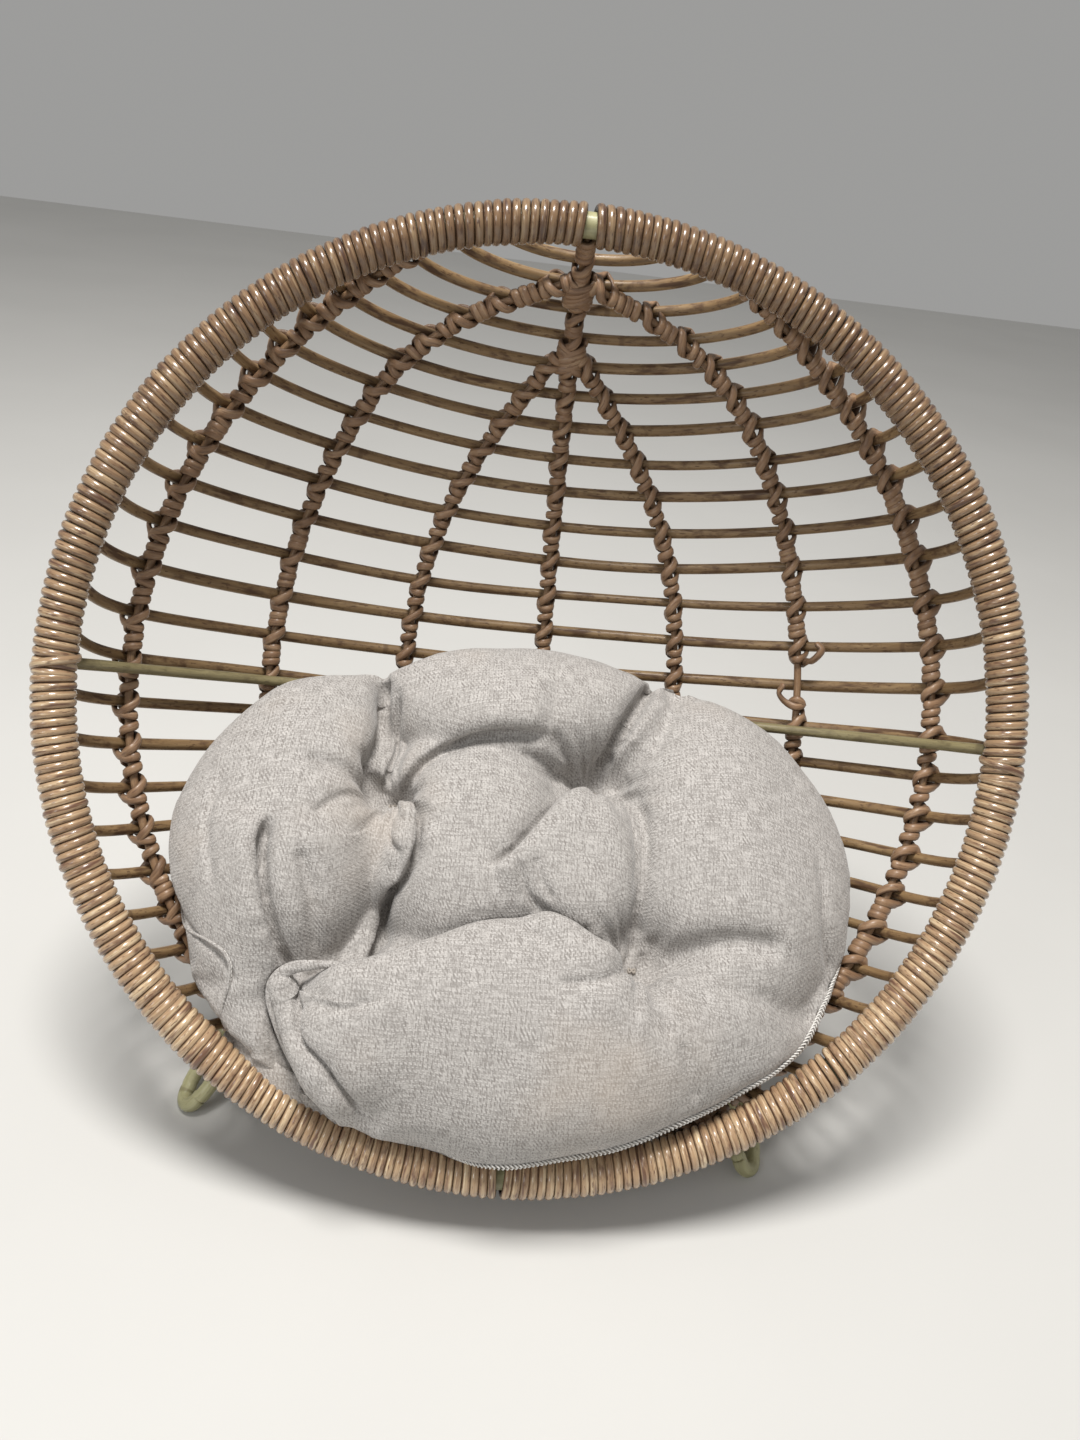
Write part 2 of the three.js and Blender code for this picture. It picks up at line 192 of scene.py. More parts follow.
# %% Node helpers
class Recipe:
    """Writes a node tree. A value given to an input is either a socket, to link, or a constant."""

    def __init__(self, tree):
        self.tree = tree

    def node(self, kind, settings=None, **inputs):
        made = self.tree.nodes.new("ShaderNode" + kind)
        for key, value in (settings or {}).items():
            setattr(made, key, value)
        for key, value in inputs.items():
            self.feed(made.inputs[key.replace("_", " ")], value)
        return made

    def feed(self, socket, value):
        if isinstance(value, bpy.types.NodeSocket):
            self.tree.links.new(value, socket)
        else:
            socket.default_value = value

    def math(self, operation, *values, clamp=False):
        made = self.tree.nodes.new("ShaderNodeMath")
        made.operation, made.use_clamp = operation, clamp
        for socket, value in zip(made.inputs, values):
            self.feed(socket, value)
        return made.outputs[0]

    def scaled(self, vector, factors):
        made = self.node("VectorMath", {"operation": "MULTIPLY"})
        self.feed(made.inputs[0], vector)
        made.inputs[1].default_value = factors
        return made.outputs[0]

    def noise(self, vector, detail=2.0, roughness=0.5):
        return self.node("TexNoise", Vector=vector, Scale=1.0, Detail=detail,
                         Roughness=roughness).outputs["Fac"]

    def ramp(self, value, low, high):
        """0 below low and 1 above high, or the other way round when low is above high."""
        made = self.node("MapRange", {"interpolation_type": "SMOOTHSTEP"})
        for socket, number in zip(made.inputs, (value, low, high, 0.0, 1.0)):
            self.feed(socket, number)
        return made.outputs[0]

    def mix(self, share, first, second, blend="MIX"):
        made = self.node("Mix", {"data_type": "RGBA", "blend_type": blend})
        for socket, value in ((made.inputs[0], share), (made.inputs[6], first),
                              (made.inputs[7], second)):
            self.feed(socket, value)
        return made.outputs[2]


def new_group(name, inputs, outputs):
    """An empty node group with its sockets: names to types, and types to defaults for inputs."""
    tree = bpy.data.node_groups.new(name, "ShaderNodeTree")
    for label, value in inputs.items():
        colour = isinstance(value, tuple)
        socket = tree.interface.new_socket(
            label, in_out="INPUT", socket_type="NodeSocketColor" if colour else "NodeSocketFloat")
        socket.default_value = value
    for label, kind in outputs.items():
        tree.interface.new_socket(label, in_out="OUTPUT", socket_type="NodeSocket" + kind)
    recipe = Recipe(tree)
    given = tree.nodes.new("NodeGroupInput").outputs
    return tree, recipe, given, tree.nodes.new("NodeGroupOutput").inputs


def new_material(name):
    material = bpy.data.materials.new(name)
    material.use_nodes = True
    return material, Recipe(material.node_tree), material.node_tree.nodes["Principled BSDF"].inputs


print("node kit ready")

# %% [markdown]
# ## Cane skin
# Rattan is a smooth vine. Its skin is streaked along its length, mottled with brown where it was
# scorched straight, ringed every hand's width by a faint joint, and dull in the creases, where
# painted shade darkens it too. One group draws all of that from two numbers kept in the UV map of
# every run of cane: how far along the run a point is, in metres, and how far round it. The angle
# round is turned into a circle first, so no seam shows where it starts again.

# %% The cane skin group
FULL_TURN = 2 * math.pi
SKIN_CIRCLE = 2.5 * MM
JOINTS_PER_METRE = 5.0

cane_skin, r, given, out = new_group("cane_skin", {
    "Skin": (0.5, 0.35, 0.2, 1.0), "Pale": (0.7, 0.55, 0.4, 1.0), "Deep": (0.2, 0.1, 0.05, 1.0),
    "Streaks": 0.6, "Mottle": 0.5, "Crease": 0.8, "Gloss": 0.4, "Joints": 0.5,
}, {"Color": "Color", "Roughness": "Float", "Height": "Float"})
place = r.node("SeparateXYZ", Vector=r.node("UVMap", {"uv_map": "run"}).outputs[0]).outputs
angle = r.math("MULTIPLY", place[1], FULL_TURN)
facing = r.math("COSINE", angle)
skin_place = r.node(
    "CombineXYZ", X=place[0], Y=r.math("MULTIPLY", facing, SKIN_CIRCLE),
    Z=r.math("MULTIPLY", r.math("SINE", angle), SKIN_CIRCLE)).outputs[0]
streak = r.noise(r.scaled(skin_place, (28, 620, 620)), 3.0, 0.6)
mottle = r.noise(r.scaled(skin_place, (95, 210, 210)), 4.0, 0.62)
speck = r.noise(r.scaled(skin_place, (210, 900, 900)), 2.0, 0.6)
patch = r.noise(r.scaled(skin_place, (9, 60, 60)), 2.0)
joint = r.node("TexVoronoi", {"voronoi_dimensions": "1D"}, W=place[0],
               Scale=JOINTS_PER_METRE).outputs["Distance"]
joint_ring = r.math("MULTIPLY", r.ramp(joint, 0.012, 0.003), given["Joints"])
blotch = r.noise(r.scaled(skin_place, (38, 260, 260)), 3.0, 0.6)
pale_share = r.math("MULTIPLY", r.ramp(streak, 0.45, 0.72), given["Streaks"])
colour = r.mix(pale_share, given["Skin"], given["Pale"])
colour = r.mix(r.math("MULTIPLY", r.ramp(patch, 0.35, 0.75), 0.45), colour, given["Skin"])
brown = r.math("MULTIPLY", r.ramp(mottle, 0.5, 0.74), given["Mottle"])
flecks = r.math("MULTIPLY", r.ramp(speck, 0.57, 0.68), r.math("MULTIPLY", given["Mottle"], 0.9))
brown = r.math("MAXIMUM", brown, r.math("MULTIPLY", r.ramp(blotch, 0.54, 0.68), given["Mottle"]))
lines = r.math("MULTIPLY", r.ramp(streak, 0.44, 0.3), r.math("MULTIPLY", given["Streaks"], 0.55))
marks = r.math("MAXIMUM", r.math("MAXIMUM", brown, flecks), r.math("MAXIMUM", lines, joint_ring))
colour = r.mix(marks, colour, given["Deep"])
# Painted shade: the sides of every cane, turned away from its outer face, are darkened towards near
# black. This stands in for the shadow in the creases between canes.
hidden = r.ramp(facing, 0.80, 0.05)
painted_crease_shade = r.math("MULTIPLY", hidden, given["Crease"])
painted_crease_shade_colour = r.mix(0.7, given["Deep"], (0.015, 0.008, 0.004, 1))
r.feed(out["Color"], r.mix(painted_crease_shade, colour, painted_crease_shade_colour))
dull = r.math("ADD", r.math("MULTIPLY", marks, 0.2), r.math("MULTIPLY", painted_crease_shade, 0.3))
r.feed(out["Roughness"], r.math("ADD", given["Gloss"], dull, clamp=True))
grooves = r.math("ADD", r.math("MULTIPLY", streak, 0.7), r.math("MULTIPLY", mottle, 0.5))
r.feed(out["Height"], r.math("ADD", grooves, r.math("MULTIPLY", joint_ring, 0.9)))
print("cane_skin:", len(cane_skin.nodes), "nodes")

# %% Finishes of cane from the one group
def srgb(red, green, blue):
    """A colour as a screen shows it, in 0 to 255, as the linear colour that shaders take."""
    share = np.array([red, green, blue]) / 255
    linear = np.where(share <= 0.04045, share / 12.92, ((share + 0.055) / 1.055) ** 2.4)
    return (*(float(c) for c in linear), 1.0)


SKIN_RELIEF = 0.35 * MM


# between these two heights, in metres, the cane darkens towards the top to this tone
TOP_DARKENING_FROM, TOP_DARKENING_TO = 0.10, 0.46
TOP_DARKENING_TONE = (0.46, 0.41, 0.37, 1)


def cane_finish(name, skin, pale, deep, coat=0.0, top_darkening=0.0, **amounts):
    """A cane material: the skin group feeds the colour, the roughness and a fine relief.

    Its sixth argument is how far it darkens towards the top of the bed.
    """
    material, r, shader = new_material(name)
    group = r.node("Group", {"node_tree": cane_skin})
    for label, value in {"Skin": skin, "Pale": pale, "Deep": deep, **amounts}.items():
        group.inputs[label].default_value = value
    relief = r.node("Bump", Height=group.outputs["Height"], Strength=0.7, Distance=SKIN_RELIEF)
    colour = group.outputs["Color"]
    if top_darkening:
        height = r.node("SeparateXYZ", Vector=r.node("TexCoord").outputs["Object"]).outputs[2]
        tone = r.mix(r.math("MULTIPLY", r.ramp(height, TOP_DARKENING_FROM, TOP_DARKENING_TO), top_darkening),
                     (1, 1, 1, 1), TOP_DARKENING_TONE)
        colour = r.mix(1.0, colour, tone, "MULTIPLY")
    r.feed(shader["Base Color"], colour)
    r.feed(shader["Roughness"], group.outputs["Roughness"])
    r.feed(shader["Normal"], relief.outputs[0])
    shader["Coat Weight"].default_value = coat
    shader["Coat Roughness"].default_value = 0.14
    shader["Specular IOR Level"].default_value = 0.42
    return material


RIM_FINISH = cane_finish(
    "varnished_rim_cane", srgb(174, 144, 112), srgb(224, 202, 166), srgb(94, 60, 44),
    coat=0.6, top_darkening=1.0, Streaks=1.0, Mottle=0.9, Crease=1.0, Gloss=0.26, Joints=0.1)
CANE_FINISH = cane_finish(
    "brown_hoop_cane", srgb(146, 118, 82), srgb(178, 150, 110), srgb(78, 50, 32),
    coat=0.08, Streaks=0.8, Mottle=0.85, Crease=0.25, Gloss=0.4, Joints=0.5)
STRAND_FINISH = cane_finish(
    "grey_brown_strand", srgb(140, 110, 84), srgb(172, 144, 114), srgb(84, 58, 42),
    coat=0.08, Streaks=0.7, Mottle=0.55, Crease=0.6, Gloss=0.42, Joints=0.1)
# Painted shade: the rib cane is given a darker brown than its own colour, so that where it shows between
# the strand's turns it reads as shadow.
SHADE_DARK_RIB_FINISH = cane_finish(
    "shade_darkened_rib_cane", srgb(138, 108, 80), srgb(164, 136, 104), srgb(84, 58, 42),
    coat=0.05, Streaks=0.6, Mottle=0.5, Crease=0.1, Gloss=0.45, Joints=0.4)
GREEN_FINISH = cane_finish(
    "pale_green_cane", srgb(170, 166, 126), srgb(198, 194, 158), srgb(116, 108, 74),
    coat=0.1, Streaks=0.6, Mottle=0.35, Crease=0.1, Gloss=0.38, Joints=0.6)
POLE_FINISH = cane_finish(
    "dull_green_pole", srgb(128, 118, 86), srgb(154, 144, 108), srgb(78, 66, 44),
    coat=0.08, Streaks=0.6, Mottle=0.55, Crease=0.15, Gloss=0.4, Joints=0.4)
print("cane finishes ready")

# %% Floor finish
floor_material, r, shader = new_material("pale_stone_floor")
cloudy = r.noise(r.scaled(r.node("TexCoord").outputs["Object"], (3, 3, 3)), 4.0)
r.feed(shader["Base Color"], r.mix(cloudy, srgb(196, 195, 192), srgb(206, 205, 202)))
shader["Roughness"].default_value = 0.7
floor.data.materials.append(floor_material)
print("floor finish ready")

# %% [markdown]
# ## Runs of cane
# Everything but the cushion is cane, so one helper does the work: it sweeps an oval along a path.
# A curve object could do it, but a mesh lets each run get thicker and thinner, end in a rounded
# tip, and carry the "run" UV map that the skin group reads. `facing` says which way is out, away
# from whatever the cane lies on, so that the painted shade in the creases knows where it belongs.

# %% Sweeping a run
CAP_ANGLES = np.radians([82, 62, 35])


class Bundle:
    """Collects runs of cane, then makes them one piece."""

    def __init__(self):
        self.points, self.quads, self.caps, self.quad_uvs, self.cap_uvs = [], [], [], [], []
        self.count = 0

    def add(self, path, facing, width, thickness=None, sides=10, start=0.0, closed=False):
        """width is across the facing direction and thickness along it; either may vary."""
        path, facing = np.asarray(path, float), np.asarray(facing, float)
        width = np.broadcast_to(width, len(path)).astype(float)
        thickness = width if thickness is None else np.broadcast_to(thickness, len(path))
        if closed:
            path, facing = np.vstack([path, path[:1]]), np.vstack([facing, facing[:1]])
            width, thickness = np.append(width, width[0]), np.append(thickness, thickness[0])
        tangent = unit(np.gradient(path, axis=0))
        if closed:
            tangent[[0, -1]] = unit(tangent[:1] + tangent[-1:])
        shrink = np.ones(len(path))
        if not closed:
            sines, cosines = np.sin(CAP_ANGLES)[:, None], np.cos(CAP_ANGLES)
            path = np.vstack([path[0] - tangent[0] * sines * thickness[0] / 2, path,
                              path[-1] + tangent[-1] * sines[::-1] * thickness[-1] / 2])
            shrink = np.concatenate([cosines, shrink, cosines[::-1]])
            ends = len(CAP_ANGLES)
            tangent, facing, width, thickness = (
                np.concatenate([np.repeat(a[:1], ends, 0), a, np.repeat(a[-1:], ends, 0)])
                for a in (tangent, facing, width, thickness))
        side = unit(np.cross(tangent, facing))
        lift = np.cross(side, tangent)
        turn = np.arange(sides) / sides * FULL_TURN
        rings = (path[:, None]
                 + lift[:, None] * (np.cos(turn) * (shrink * thickness)[:, None] / 2)[..., None]
                 + side[:, None] * (np.sin(turn) * (shrink * width)[:, None] / 2)[..., None])
        if closed:
            rings = rings[:-1]
        self._stitch(rings, path, sides, start, closed)

    def _stitch(self, rings, path, sides, start, closed):
        count = len(rings)
        run = start + np.concatenate([[0], np.cumsum(np.linalg.norm(np.diff(path, axis=0), axis=1))])
        last = count if closed else count - 1
        i, j = np.meshgrid(np.arange(last), np.arange(sides), indexing="ij")
        after, beside = (i + 1) % count, (j + 1) % sides
        corners = np.stack([i * sides + j, i * sides + beside,
                            after * sides + beside, after * sides + j], -1)
        self.quads.append(corners.reshape(-1, 4) + self.count)
        along = np.stack([run[i], run[i], run[i + 1], run[i + 1]], -1)
        around = np.stack([j, j + 1, j + 1, j], -1) / sides
        self.quad_uvs.append(np.stack([along, around], -1).reshape(-1, 2))
        if not closed:
            first, final = list(range(sides))[::-1], list(range(sides))
            self.caps.append([self.count + k for k in first])
            self.caps.append([self.count + (count - 1) * sides + k for k in final])
            self.cap_uvs.append([(run[0], k / sides) for k in first])
            self.cap_uvs.append([(run[count - 1], k / sides) for k in final])
        self.points.append(rings.reshape(-1, 3))
        self.count += count * sides

    def piece(self, name, material, body="basket", slot=None, replaces=()):
        mesh = bpy.data.meshes.new(name)
        quads = np.concatenate(self.quads)
        mesh.from_pydata(to_room(np.concatenate(self.points)).tolist(), [],
                         quads.tolist() + self.caps)
        uvs = np.concatenate(self.quad_uvs + [np.array(cap) for cap in self.cap_uvs])
        mesh.uv_layers.new(name="run").data.foreach_set("uv", uvs.astype(np.float32).ravel())
        mesh.shade_smooth()
        mesh.materials.append(material)
        made = bpy.data.objects.new(name, mesh)
        bpy.context.scene.collection.objects.link(made)
        return settle(made, body, replaces)


def settle(made, body, replaces):
    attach(made, body)
    if replaces:
        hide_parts(*replaces)
    return made


print("runs of cane are swept with", len(CAP_ANGLES), "rings in each rounded tip")

# %% Natural unevenness
def wander(dice, length, spacing, amount):
    """A function of the distance along a run: a smooth random wander, up to about amount."""
    knots = np.arange(-1, int(length / spacing) + 4)
    heights = dice.normal(0, amount / 2, len(knots))

    def at(run):
        place = np.asarray(run) / spacing
        low = np.floor(place).astype(int)
        share = smooth(place - low)
        low = np.clip(low + 1, 0, len(knots) - 2)
        return heights[low] * (1 - share) + heights[low + 1] * share
    return at


def run_length(path):
    return np.concatenate([[0], np.cumsum(np.linalg.norm(np.diff(path, axis=0), axis=1))])


def joint_swelling(run, start):
    """Cane swells a little at each joint: where the skin group draws its rings (share of width).
    The rings sit at random places in cells one joint long, so this only roughly keeps step."""
    return 1 + 0.012 * np.sin((run + start) * JOINTS_PER_METRE * FULL_TURN)


def smooth_through(points, per_span):
    """A smooth line through points, per_span steps from each to the next."""
    points = np.asarray(points, float)
    padded = np.vstack([2 * points[0] - points[1], points, 2 * points[-1] - points[-2]])
    before, here, there, beyond = padded[:-3], padded[1:-2], padded[2:-1], padded[3:]
    t = (np.arange(per_span) / per_span)[None, :, None]
    a, b, c, d = (p[:, None] for p in (before, here, there, beyond))
    line = 0.5 * (2 * b + (c - a) * t + (2 * a - 5 * b + 4 * c - d) * t ** 2
                  + (3 * b - a - 3 * c + d) * t ** 3)
    return np.vstack([line.reshape(-1, points.shape[1]), points[-1:]])


print("a smooth line through 3 points has", len(smooth_through(np.eye(3), 4)), "points")

# %% [markdown]
# ## The rim
# The rim is a green pole bent into a circle, its ends meeting under the wrapping. Round cane is
# wound on it tightly, well over three hundred turns, in two halves that start beside a small bare
# window at the top and end at another at the bottom. Half-way down each side, where the level
# pole comes in, the winding changes hand: a last turn lies slanting over the others. A texture of
# stripes would look flat at the edge, so each winding is a true helix, and every turn is a
# little thicker, thinner or looser than the next.

# %% Rim pole
TOP_WINDOW, BOTTOM_WINDOW = 5.5 * MM, 3.5 * MM
RIM_STEPS, POLE_SIDES = 240, 16
# how high the pole's lumps are, how many go round the rim, and where they start
POLE_LUMPS = ((0.01, 23, 0), (0.008, 9, 1))
around_rim = np.linspace(0, FULL_TURN, RIM_STEPS, endpoint=False)


def rim_point(angle, turn, radius):
    """A point near the rim: angle round the rim from the right, turn round its section from
    the outer side towards the front."""
    out = RIM_RADIUS + radius * np.cos(turn)
    return np.stack([out * np.cos(angle), out * np.sin(angle), radius * np.sin(turn)], -1)


rim_pole = Bundle()
dice = np.random.default_rng(11)
pole_lumps = 1 + sum(high * np.sin(around_rim * count + phase) for high, count, phase in POLE_LUMPS)
rim_pole.add(rim_point(around_rim, 0 * around_rim, 0), np.tile([0, 0, 1.0], (RIM_STEPS, 1)),
             2 * RIM_POLE_RADIUS * pole_lumps, sides=POLE_SIDES, closed=True)
rim_pole.piece("rim_pole", GREEN_FINISH, slot="green_cane", replaces=["rim_core"])
print("rim pole", round(2000 * RIM_RADIUS), "mm across its middle line")

# %% Wrapping the rim
UPPER_PITCH, LOWER_PITCH = 4.6 * MM, 4.3 * MM
WRAP_OVERLAP = 1.04
WRAP_THICKNESS = 4.1 * MM
STEPS_PER_TURN = 24
SIDE_CROSSING = {"left": math.radians(181.5), "right": math.radians(-3.5)}
CROSSING_SLANT = 6 * MM
CROSSING_LIFT = 1.5 * MM
CROSSING_OVERLAP = 3 * MM


def wind_rim(bundle, dice, start, end, pitch, hand, slanted_start=False):
    """Winds the rim pole from one angle to another. hand 1 goes over the front on its way in."""
    length = abs(end - start) * RIM_RADIUS
    turns = round(length / pitch)
    count = turns * STEPS_PER_TURN + 1
    wound = np.linspace(0, turns, count)
    loose = wander(dice, turns, 1.0, 0.09)(wound) + wander(dice, turns, 9, 0.25)(wound)
    share = np.clip((wound + loose * np.sin(math.pi * wound / turns)) / turns, 0, 1)
    angle = start + (end - start) * share
    lift = wander(dice, turns, 1.4, 0.22 * MM)(wound)
    if slanted_start:
        over = smooth(1 - wound / 1.1)
        angle -= np.sign(end - start) * over * CROSSING_SLANT / RIM_RADIUS
        lift = lift + over * CROSSING_LIFT
    radius = RIM_POLE_RADIUS + WRAP_THICKNESS / 2 + 0.25 * MM + lift
    turn = -math.pi / 2 + hand * wound * FULL_TURN
    path = rim_point(angle, turn, radius)
    middle = rim_point(angle, 0 * turn, 0 * turn)
    width = WRAP_OVERLAP * pitch * (
        1 + wander(dice, turns, 7, 0.09)(wound) + wander(dice, turns, 1, 0.03)(wound))
    bundle.add(path, path - middle, width, WRAP_THICKNESS * (1 + wander(dice, turns, 3, 0.05)(wound)),
               start=dice.uniform(0, GRAIN_SPAN))
    return turns


def wrap_side(side, seed):
    dice = np.random.default_rng(seed)
    way = 1 if side == "left" else -1
    top = math.pi / 2 + way * TOP_WINDOW / 2 / RIM_RADIUS
    bottom = math.pi / 2 + way * (math.pi - BOTTOM_WINDOW / 2 / RIM_RADIUS)
    crossing = SIDE_CROSSING[side]
    bundle = Bundle()
    upper = wind_rim(bundle, dice, top, crossing + way * CROSSING_OVERLAP / RIM_RADIUS,
                     UPPER_PITCH, hand=1)
    lower = wind_rim(bundle, dice, crossing - way * CROSSING_OVERLAP / RIM_RADIUS, bottom,
                     LOWER_PITCH, hand=-1, slanted_start=True)
    bundle.piece(f"rim_wrapping_{side}", RIM_FINISH, slot="rim_wrapping",
                 replaces=[f"rim_wrap_{side}"])
    print(f"{side} half of the rim: {upper} turns above the crossing and {lower} below")


wrap_side("left", 21)
wrap_side("right", 22)

# %% [markdown]
# ## The hoops
# Twenty-nine canes run level round the bowl, one above the other, from one side of the rim to the
# other. Their ends are pushed into the wrapping and lift a little on the way in. They are real
# vines: none is quite straight or quite round. The level pole of green cane lies inside the ribs
# at the middle of the rim and keeps the opening from spreading.

# %% Hoop canes
CANES_EACH_SIDE = 14
CANE_STEP, CANE_SPREAD, SPREAD_ROWS, FIRST_LATITUDE = 5.55, 2.7, 12, 0.5
CANE_WIDTH = 6.1 * MM
CANE_OUTBOARD = 2.9 * MM
CANE_INTO_RIM = 6 * MM
END_LIFT = 1.6
# how far each end of some hoops was pulled up or down to find its place in the rim, in degrees
ODD_ENDS = {0: (2.6, -2.6), 1: (2.2, 0.3), 2: (1.2, 0.3), 3: (0.9, 0), -3: (0.3, -0.2)}
HOOP_STEPS = 180


def cane_latitude(row):
    spread = CANE_SPREAD * np.sin(row / SPREAD_ROWS * math.pi) if 0 < row < SPREAD_ROWS else 0
    return FIRST_LATITUDE + CANE_STEP * row + spread


# a hoop's reach to each side, in degrees, before it is shortened to end in the rim, and how
# sharply its ends lift and turn in
FULL_REACH, REACH_TRIES = 89.9, 6
LIFT_POWER, TURN_IN_POWER = 9, 14


def hoop_path(latitude, outboard, left_lift, right_lift, into_rim):
    """A level hoop, its ends lifted by so many degrees and pushed into the rim's wrapping."""
    reach = FULL_REACH
    for _ in range(REACH_TRIES):
        longitude = np.linspace(-reach, reach, HOOP_STEPS)
        share = np.abs(longitude) / reach
        lift = np.where(longitude < 0, left_lift, right_lift)
        path = bowl_point(longitude, latitude + lift * share ** LIFT_POWER,
                          outboard * (1 - share ** TURN_IN_POWER))
        inside = distance_to_rim(path) < into_rim
        if not inside.any():
            break
        reach = np.abs(longitude[~inside]).max()
    facing = bowl_outward(longitude, np.full(HOOP_STEPS, latitude))
    return path, facing


def make_hoop(row):
    dice = np.random.default_rng(100 + row)
    latitude = cane_latitude(row)
    left, right = ODD_ENDS.get(row, (0, 0))
    path, facing = hoop_path(latitude, CANE_OUTBOARD, END_LIFT + left, END_LIFT + right, CANE_INTO_RIM)
    run = run_length(path)
    path = path + facing * wander(dice, run[-1], 0.09, 0.5 * MM)(run)[:, None]
    path[:, 1] += wander(dice, run[-1], 0.11, 1.3 * MM)(run)
    start = dice.uniform(0, GRAIN_SPAN)
    width = CANE_WIDTH * (1 + wander(dice, run[-1], 0.12, 0.07)(run)) * dice.uniform(0.94, 1.05)
    width = width * joint_swelling(run, start)
    side = "middle" if row == 0 else f"{'up' if row > 0 else 'down'}_{abs(row):02d}"
    bundle = Bundle()
    bundle.add(path, facing, width, sides=12, start=start)
    bundle.piece(f"hoop_{side}", CANE_FINISH, slot="brown_cane", replaces=[f"cane_{side}"])
    return run[-1]


lengths = [make_hoop(row) for row in range(-CANES_EACH_SIDE, CANES_EACH_SIDE + 1)]
print(len(lengths), "hoops, the longest", round(max(lengths), 3), "m")

# %% Level pole
LEVEL_POLE_WIDTH = 5.8 * MM
LEVEL_POLE_INBOARD = 11.4 * MM
LEVEL_POLE_DROP = 0.9
path, facing = hoop_path(cane_latitude(0) - LEVEL_POLE_DROP, -LEVEL_POLE_INBOARD, 0, 0, CANE_INTO_RIM)
level_pole = Bundle()
level_pole.add(path, -facing, LEVEL_POLE_WIDTH * (1 + 0.03 * np.sin(np.linspace(0, 40, HOOP_STEPS))),
               sides=12, start=3.7)
level_pole.piece("level_pole", POLE_FINISH, slot="green_cane", replaces=["equator_pole"])
print("level pole", round(run_length(path)[-1], 3), "m long")

# %% [markdown]
# ## The ribs and their strand
# Seven ribs stand inside the hoops. Each is a thin cane, and one strand is wound down it from the
# top: two or three turns, then at every hoop it makes a hitch, out behind the hoop and back across
# itself, which is the small cross seen at every crossing. The hitch is laid out once, in the
# crossing's own frame, and then bent to fit every crossing.

# %% Rib lines
RIB_WIDTH = 4.4 * MM
RIB_INBOARD = 3.3 * MM
RIB_JOIN = 7 * MM
RIB_INTO_RIM = 9 * MM
# longitude over the middle, latitude where it meets the middle rib or the rim, how sharply it
# turns towards that, and its longitude there
RIBS = {
    "middle": (1.5, 90, 1, 0),
    "inner_left": (-19.5, 62, 3.3, 0),
    "inner_right": (22, 62, 3.3, 0),
    "outer_left": (-41, 75, 8.5, 0),
    "outer_right": (42.5, 75, 8.5, 0),
    "side_left": (-68, 74, 8, -90),
    "side_right": (69, 74, 8, 90),
}
RIB_STEPS = 500


class Rib:
    """A rib's line from bottom to top, with right, inward and upward directions along it."""

    def __init__(self, name):
        longitude, join, sharpness, end_longitude = RIBS[name]
        latitude = np.linspace(-89, 89, RIB_STEPS)
        share = np.minimum(np.abs(latitude) / join, 1)
        lon = longitude + (end_longitude - longitude) * share ** sharpness
        line = bowl_point(lon, latitude, -RIB_INBOARD)
        joins_middle = end_longitude == 0 and name != "middle"
        keep = distance_to_rim(line) > RIB_INTO_RIM
        if joins_middle:
            keep &= np.abs(line[:, 0]) > RIB_JOIN
        centre = RIB_STEPS // 2
        low = centre - np.argmin(keep[:centre + 1][::-1]) + 1
        high = centre + np.argmin(keep[centre:])
        part = slice(low, high)
        self.name, self.latitude, self.line = name, latitude[part], line[part]
        self.run = run_length(self.line)
        self.up = unit(np.gradient(self.line, axis=0))
        inward = -bowl_outward(lon[part], self.latitude)
        self.right = unit(np.cross(self.up, inward))
        self.inward = np.cross(self.right, self.up)

    def at(self, run, rows):
        return np.stack([np.interp(run, self.run, rows[:, k]) for k in range(3)], -1)

    def place(self, local):
        """Points given as (right, inward, run along the rib)."""
        run = np.clip(local[:, 2], 0, self.run[-1])
        past = local[:, 2] - run
        return (self.at(run, self.line) + self.at(run, self.right) * local[:, :1]
                + self.at(run, self.inward) * local[:, 1:2] + self.at(run, self.up) * past[:, None])

    def crossings(self):
        """Row of each hoop crossed, with the run along the rib there, from the top down."""
        rows = range(CANES_EACH_SIDE, -CANES_EACH_SIDE - 1, -1)
        found = [(row, float(np.interp(cane_latitude(row), self.latitude, self.run)))
                 for row in rows if self.latitude[0] < cane_latitude(row) < self.latitude[-1]]
        return found


ribs = {name: Rib(name) for name in RIBS}
for rib in ribs.values():
    print(rib.name, round(rib.run[-1], 3), "m,", len(rib.crossings()), "crossings")

# %% Rib canes
for number, rib in enumerate(ribs.values()):
    dice = np.random.default_rng(200 + number)
    bundle = Bundle()
    bundle.add(rib.line, rib.inward, RIB_WIDTH * (1 + wander(dice, rib.run[-1], 0.1, 0.06)(rib.run)),
               sides=10, start=dice.uniform(0, GRAIN_SPAN))
    bundle.piece(f"rib_cane_{rib.name}", SHADE_DARK_RIB_FINISH, slot="brown_cane",
                 replaces=[f"rib_core_{rib.name}"])
print(len(ribs), "rib canes")

# %% The hitch
STRAND_WIDTH = 5.0 * MM
STRAND_THICKNESS = 2.9 * MM
LAY_RADIUS = 3.7 * MM
# The strand's way at one crossing, top to bottom: right, inward and up, in millimetres
HITCH = np.array([
    (3.6, -1.5, 5.2), (4.0, -5.5, 4.0), (3.6, -10.3, 0), (4.0, -5.5, -4.4), (3.2, 1.3, -6.4),
    (0, 3.8, -7.2), (-3.6, 0.3, -6.6), (-3.8, -5.5, -4.4), (-0.5, -11.4, 0), (2.6, -7.5, 4.2),
    (4.3, -1.0, 4.6), (3.0, 3.3, 2.6), (0, 4.7, 0), (-3.1, 3.3, -2.8), (-4.2, -0.6, -4.8),
    (-2.8, -3.4, -8.0), (2.0, -3.5, -9.8),
]) * MM
HITCH_TOP, HITCH_BOTTOM = 5.2 * MM, -9.8 * MM
HITCH_ROOM = 17 * MM
LEAVE_ANGLE, ARRIVE_ANGLE = -60, -21
PITCH_BETWEEN = 5.0 * MM
WINDING_STEP = 30
STRAND_STEPS = 4


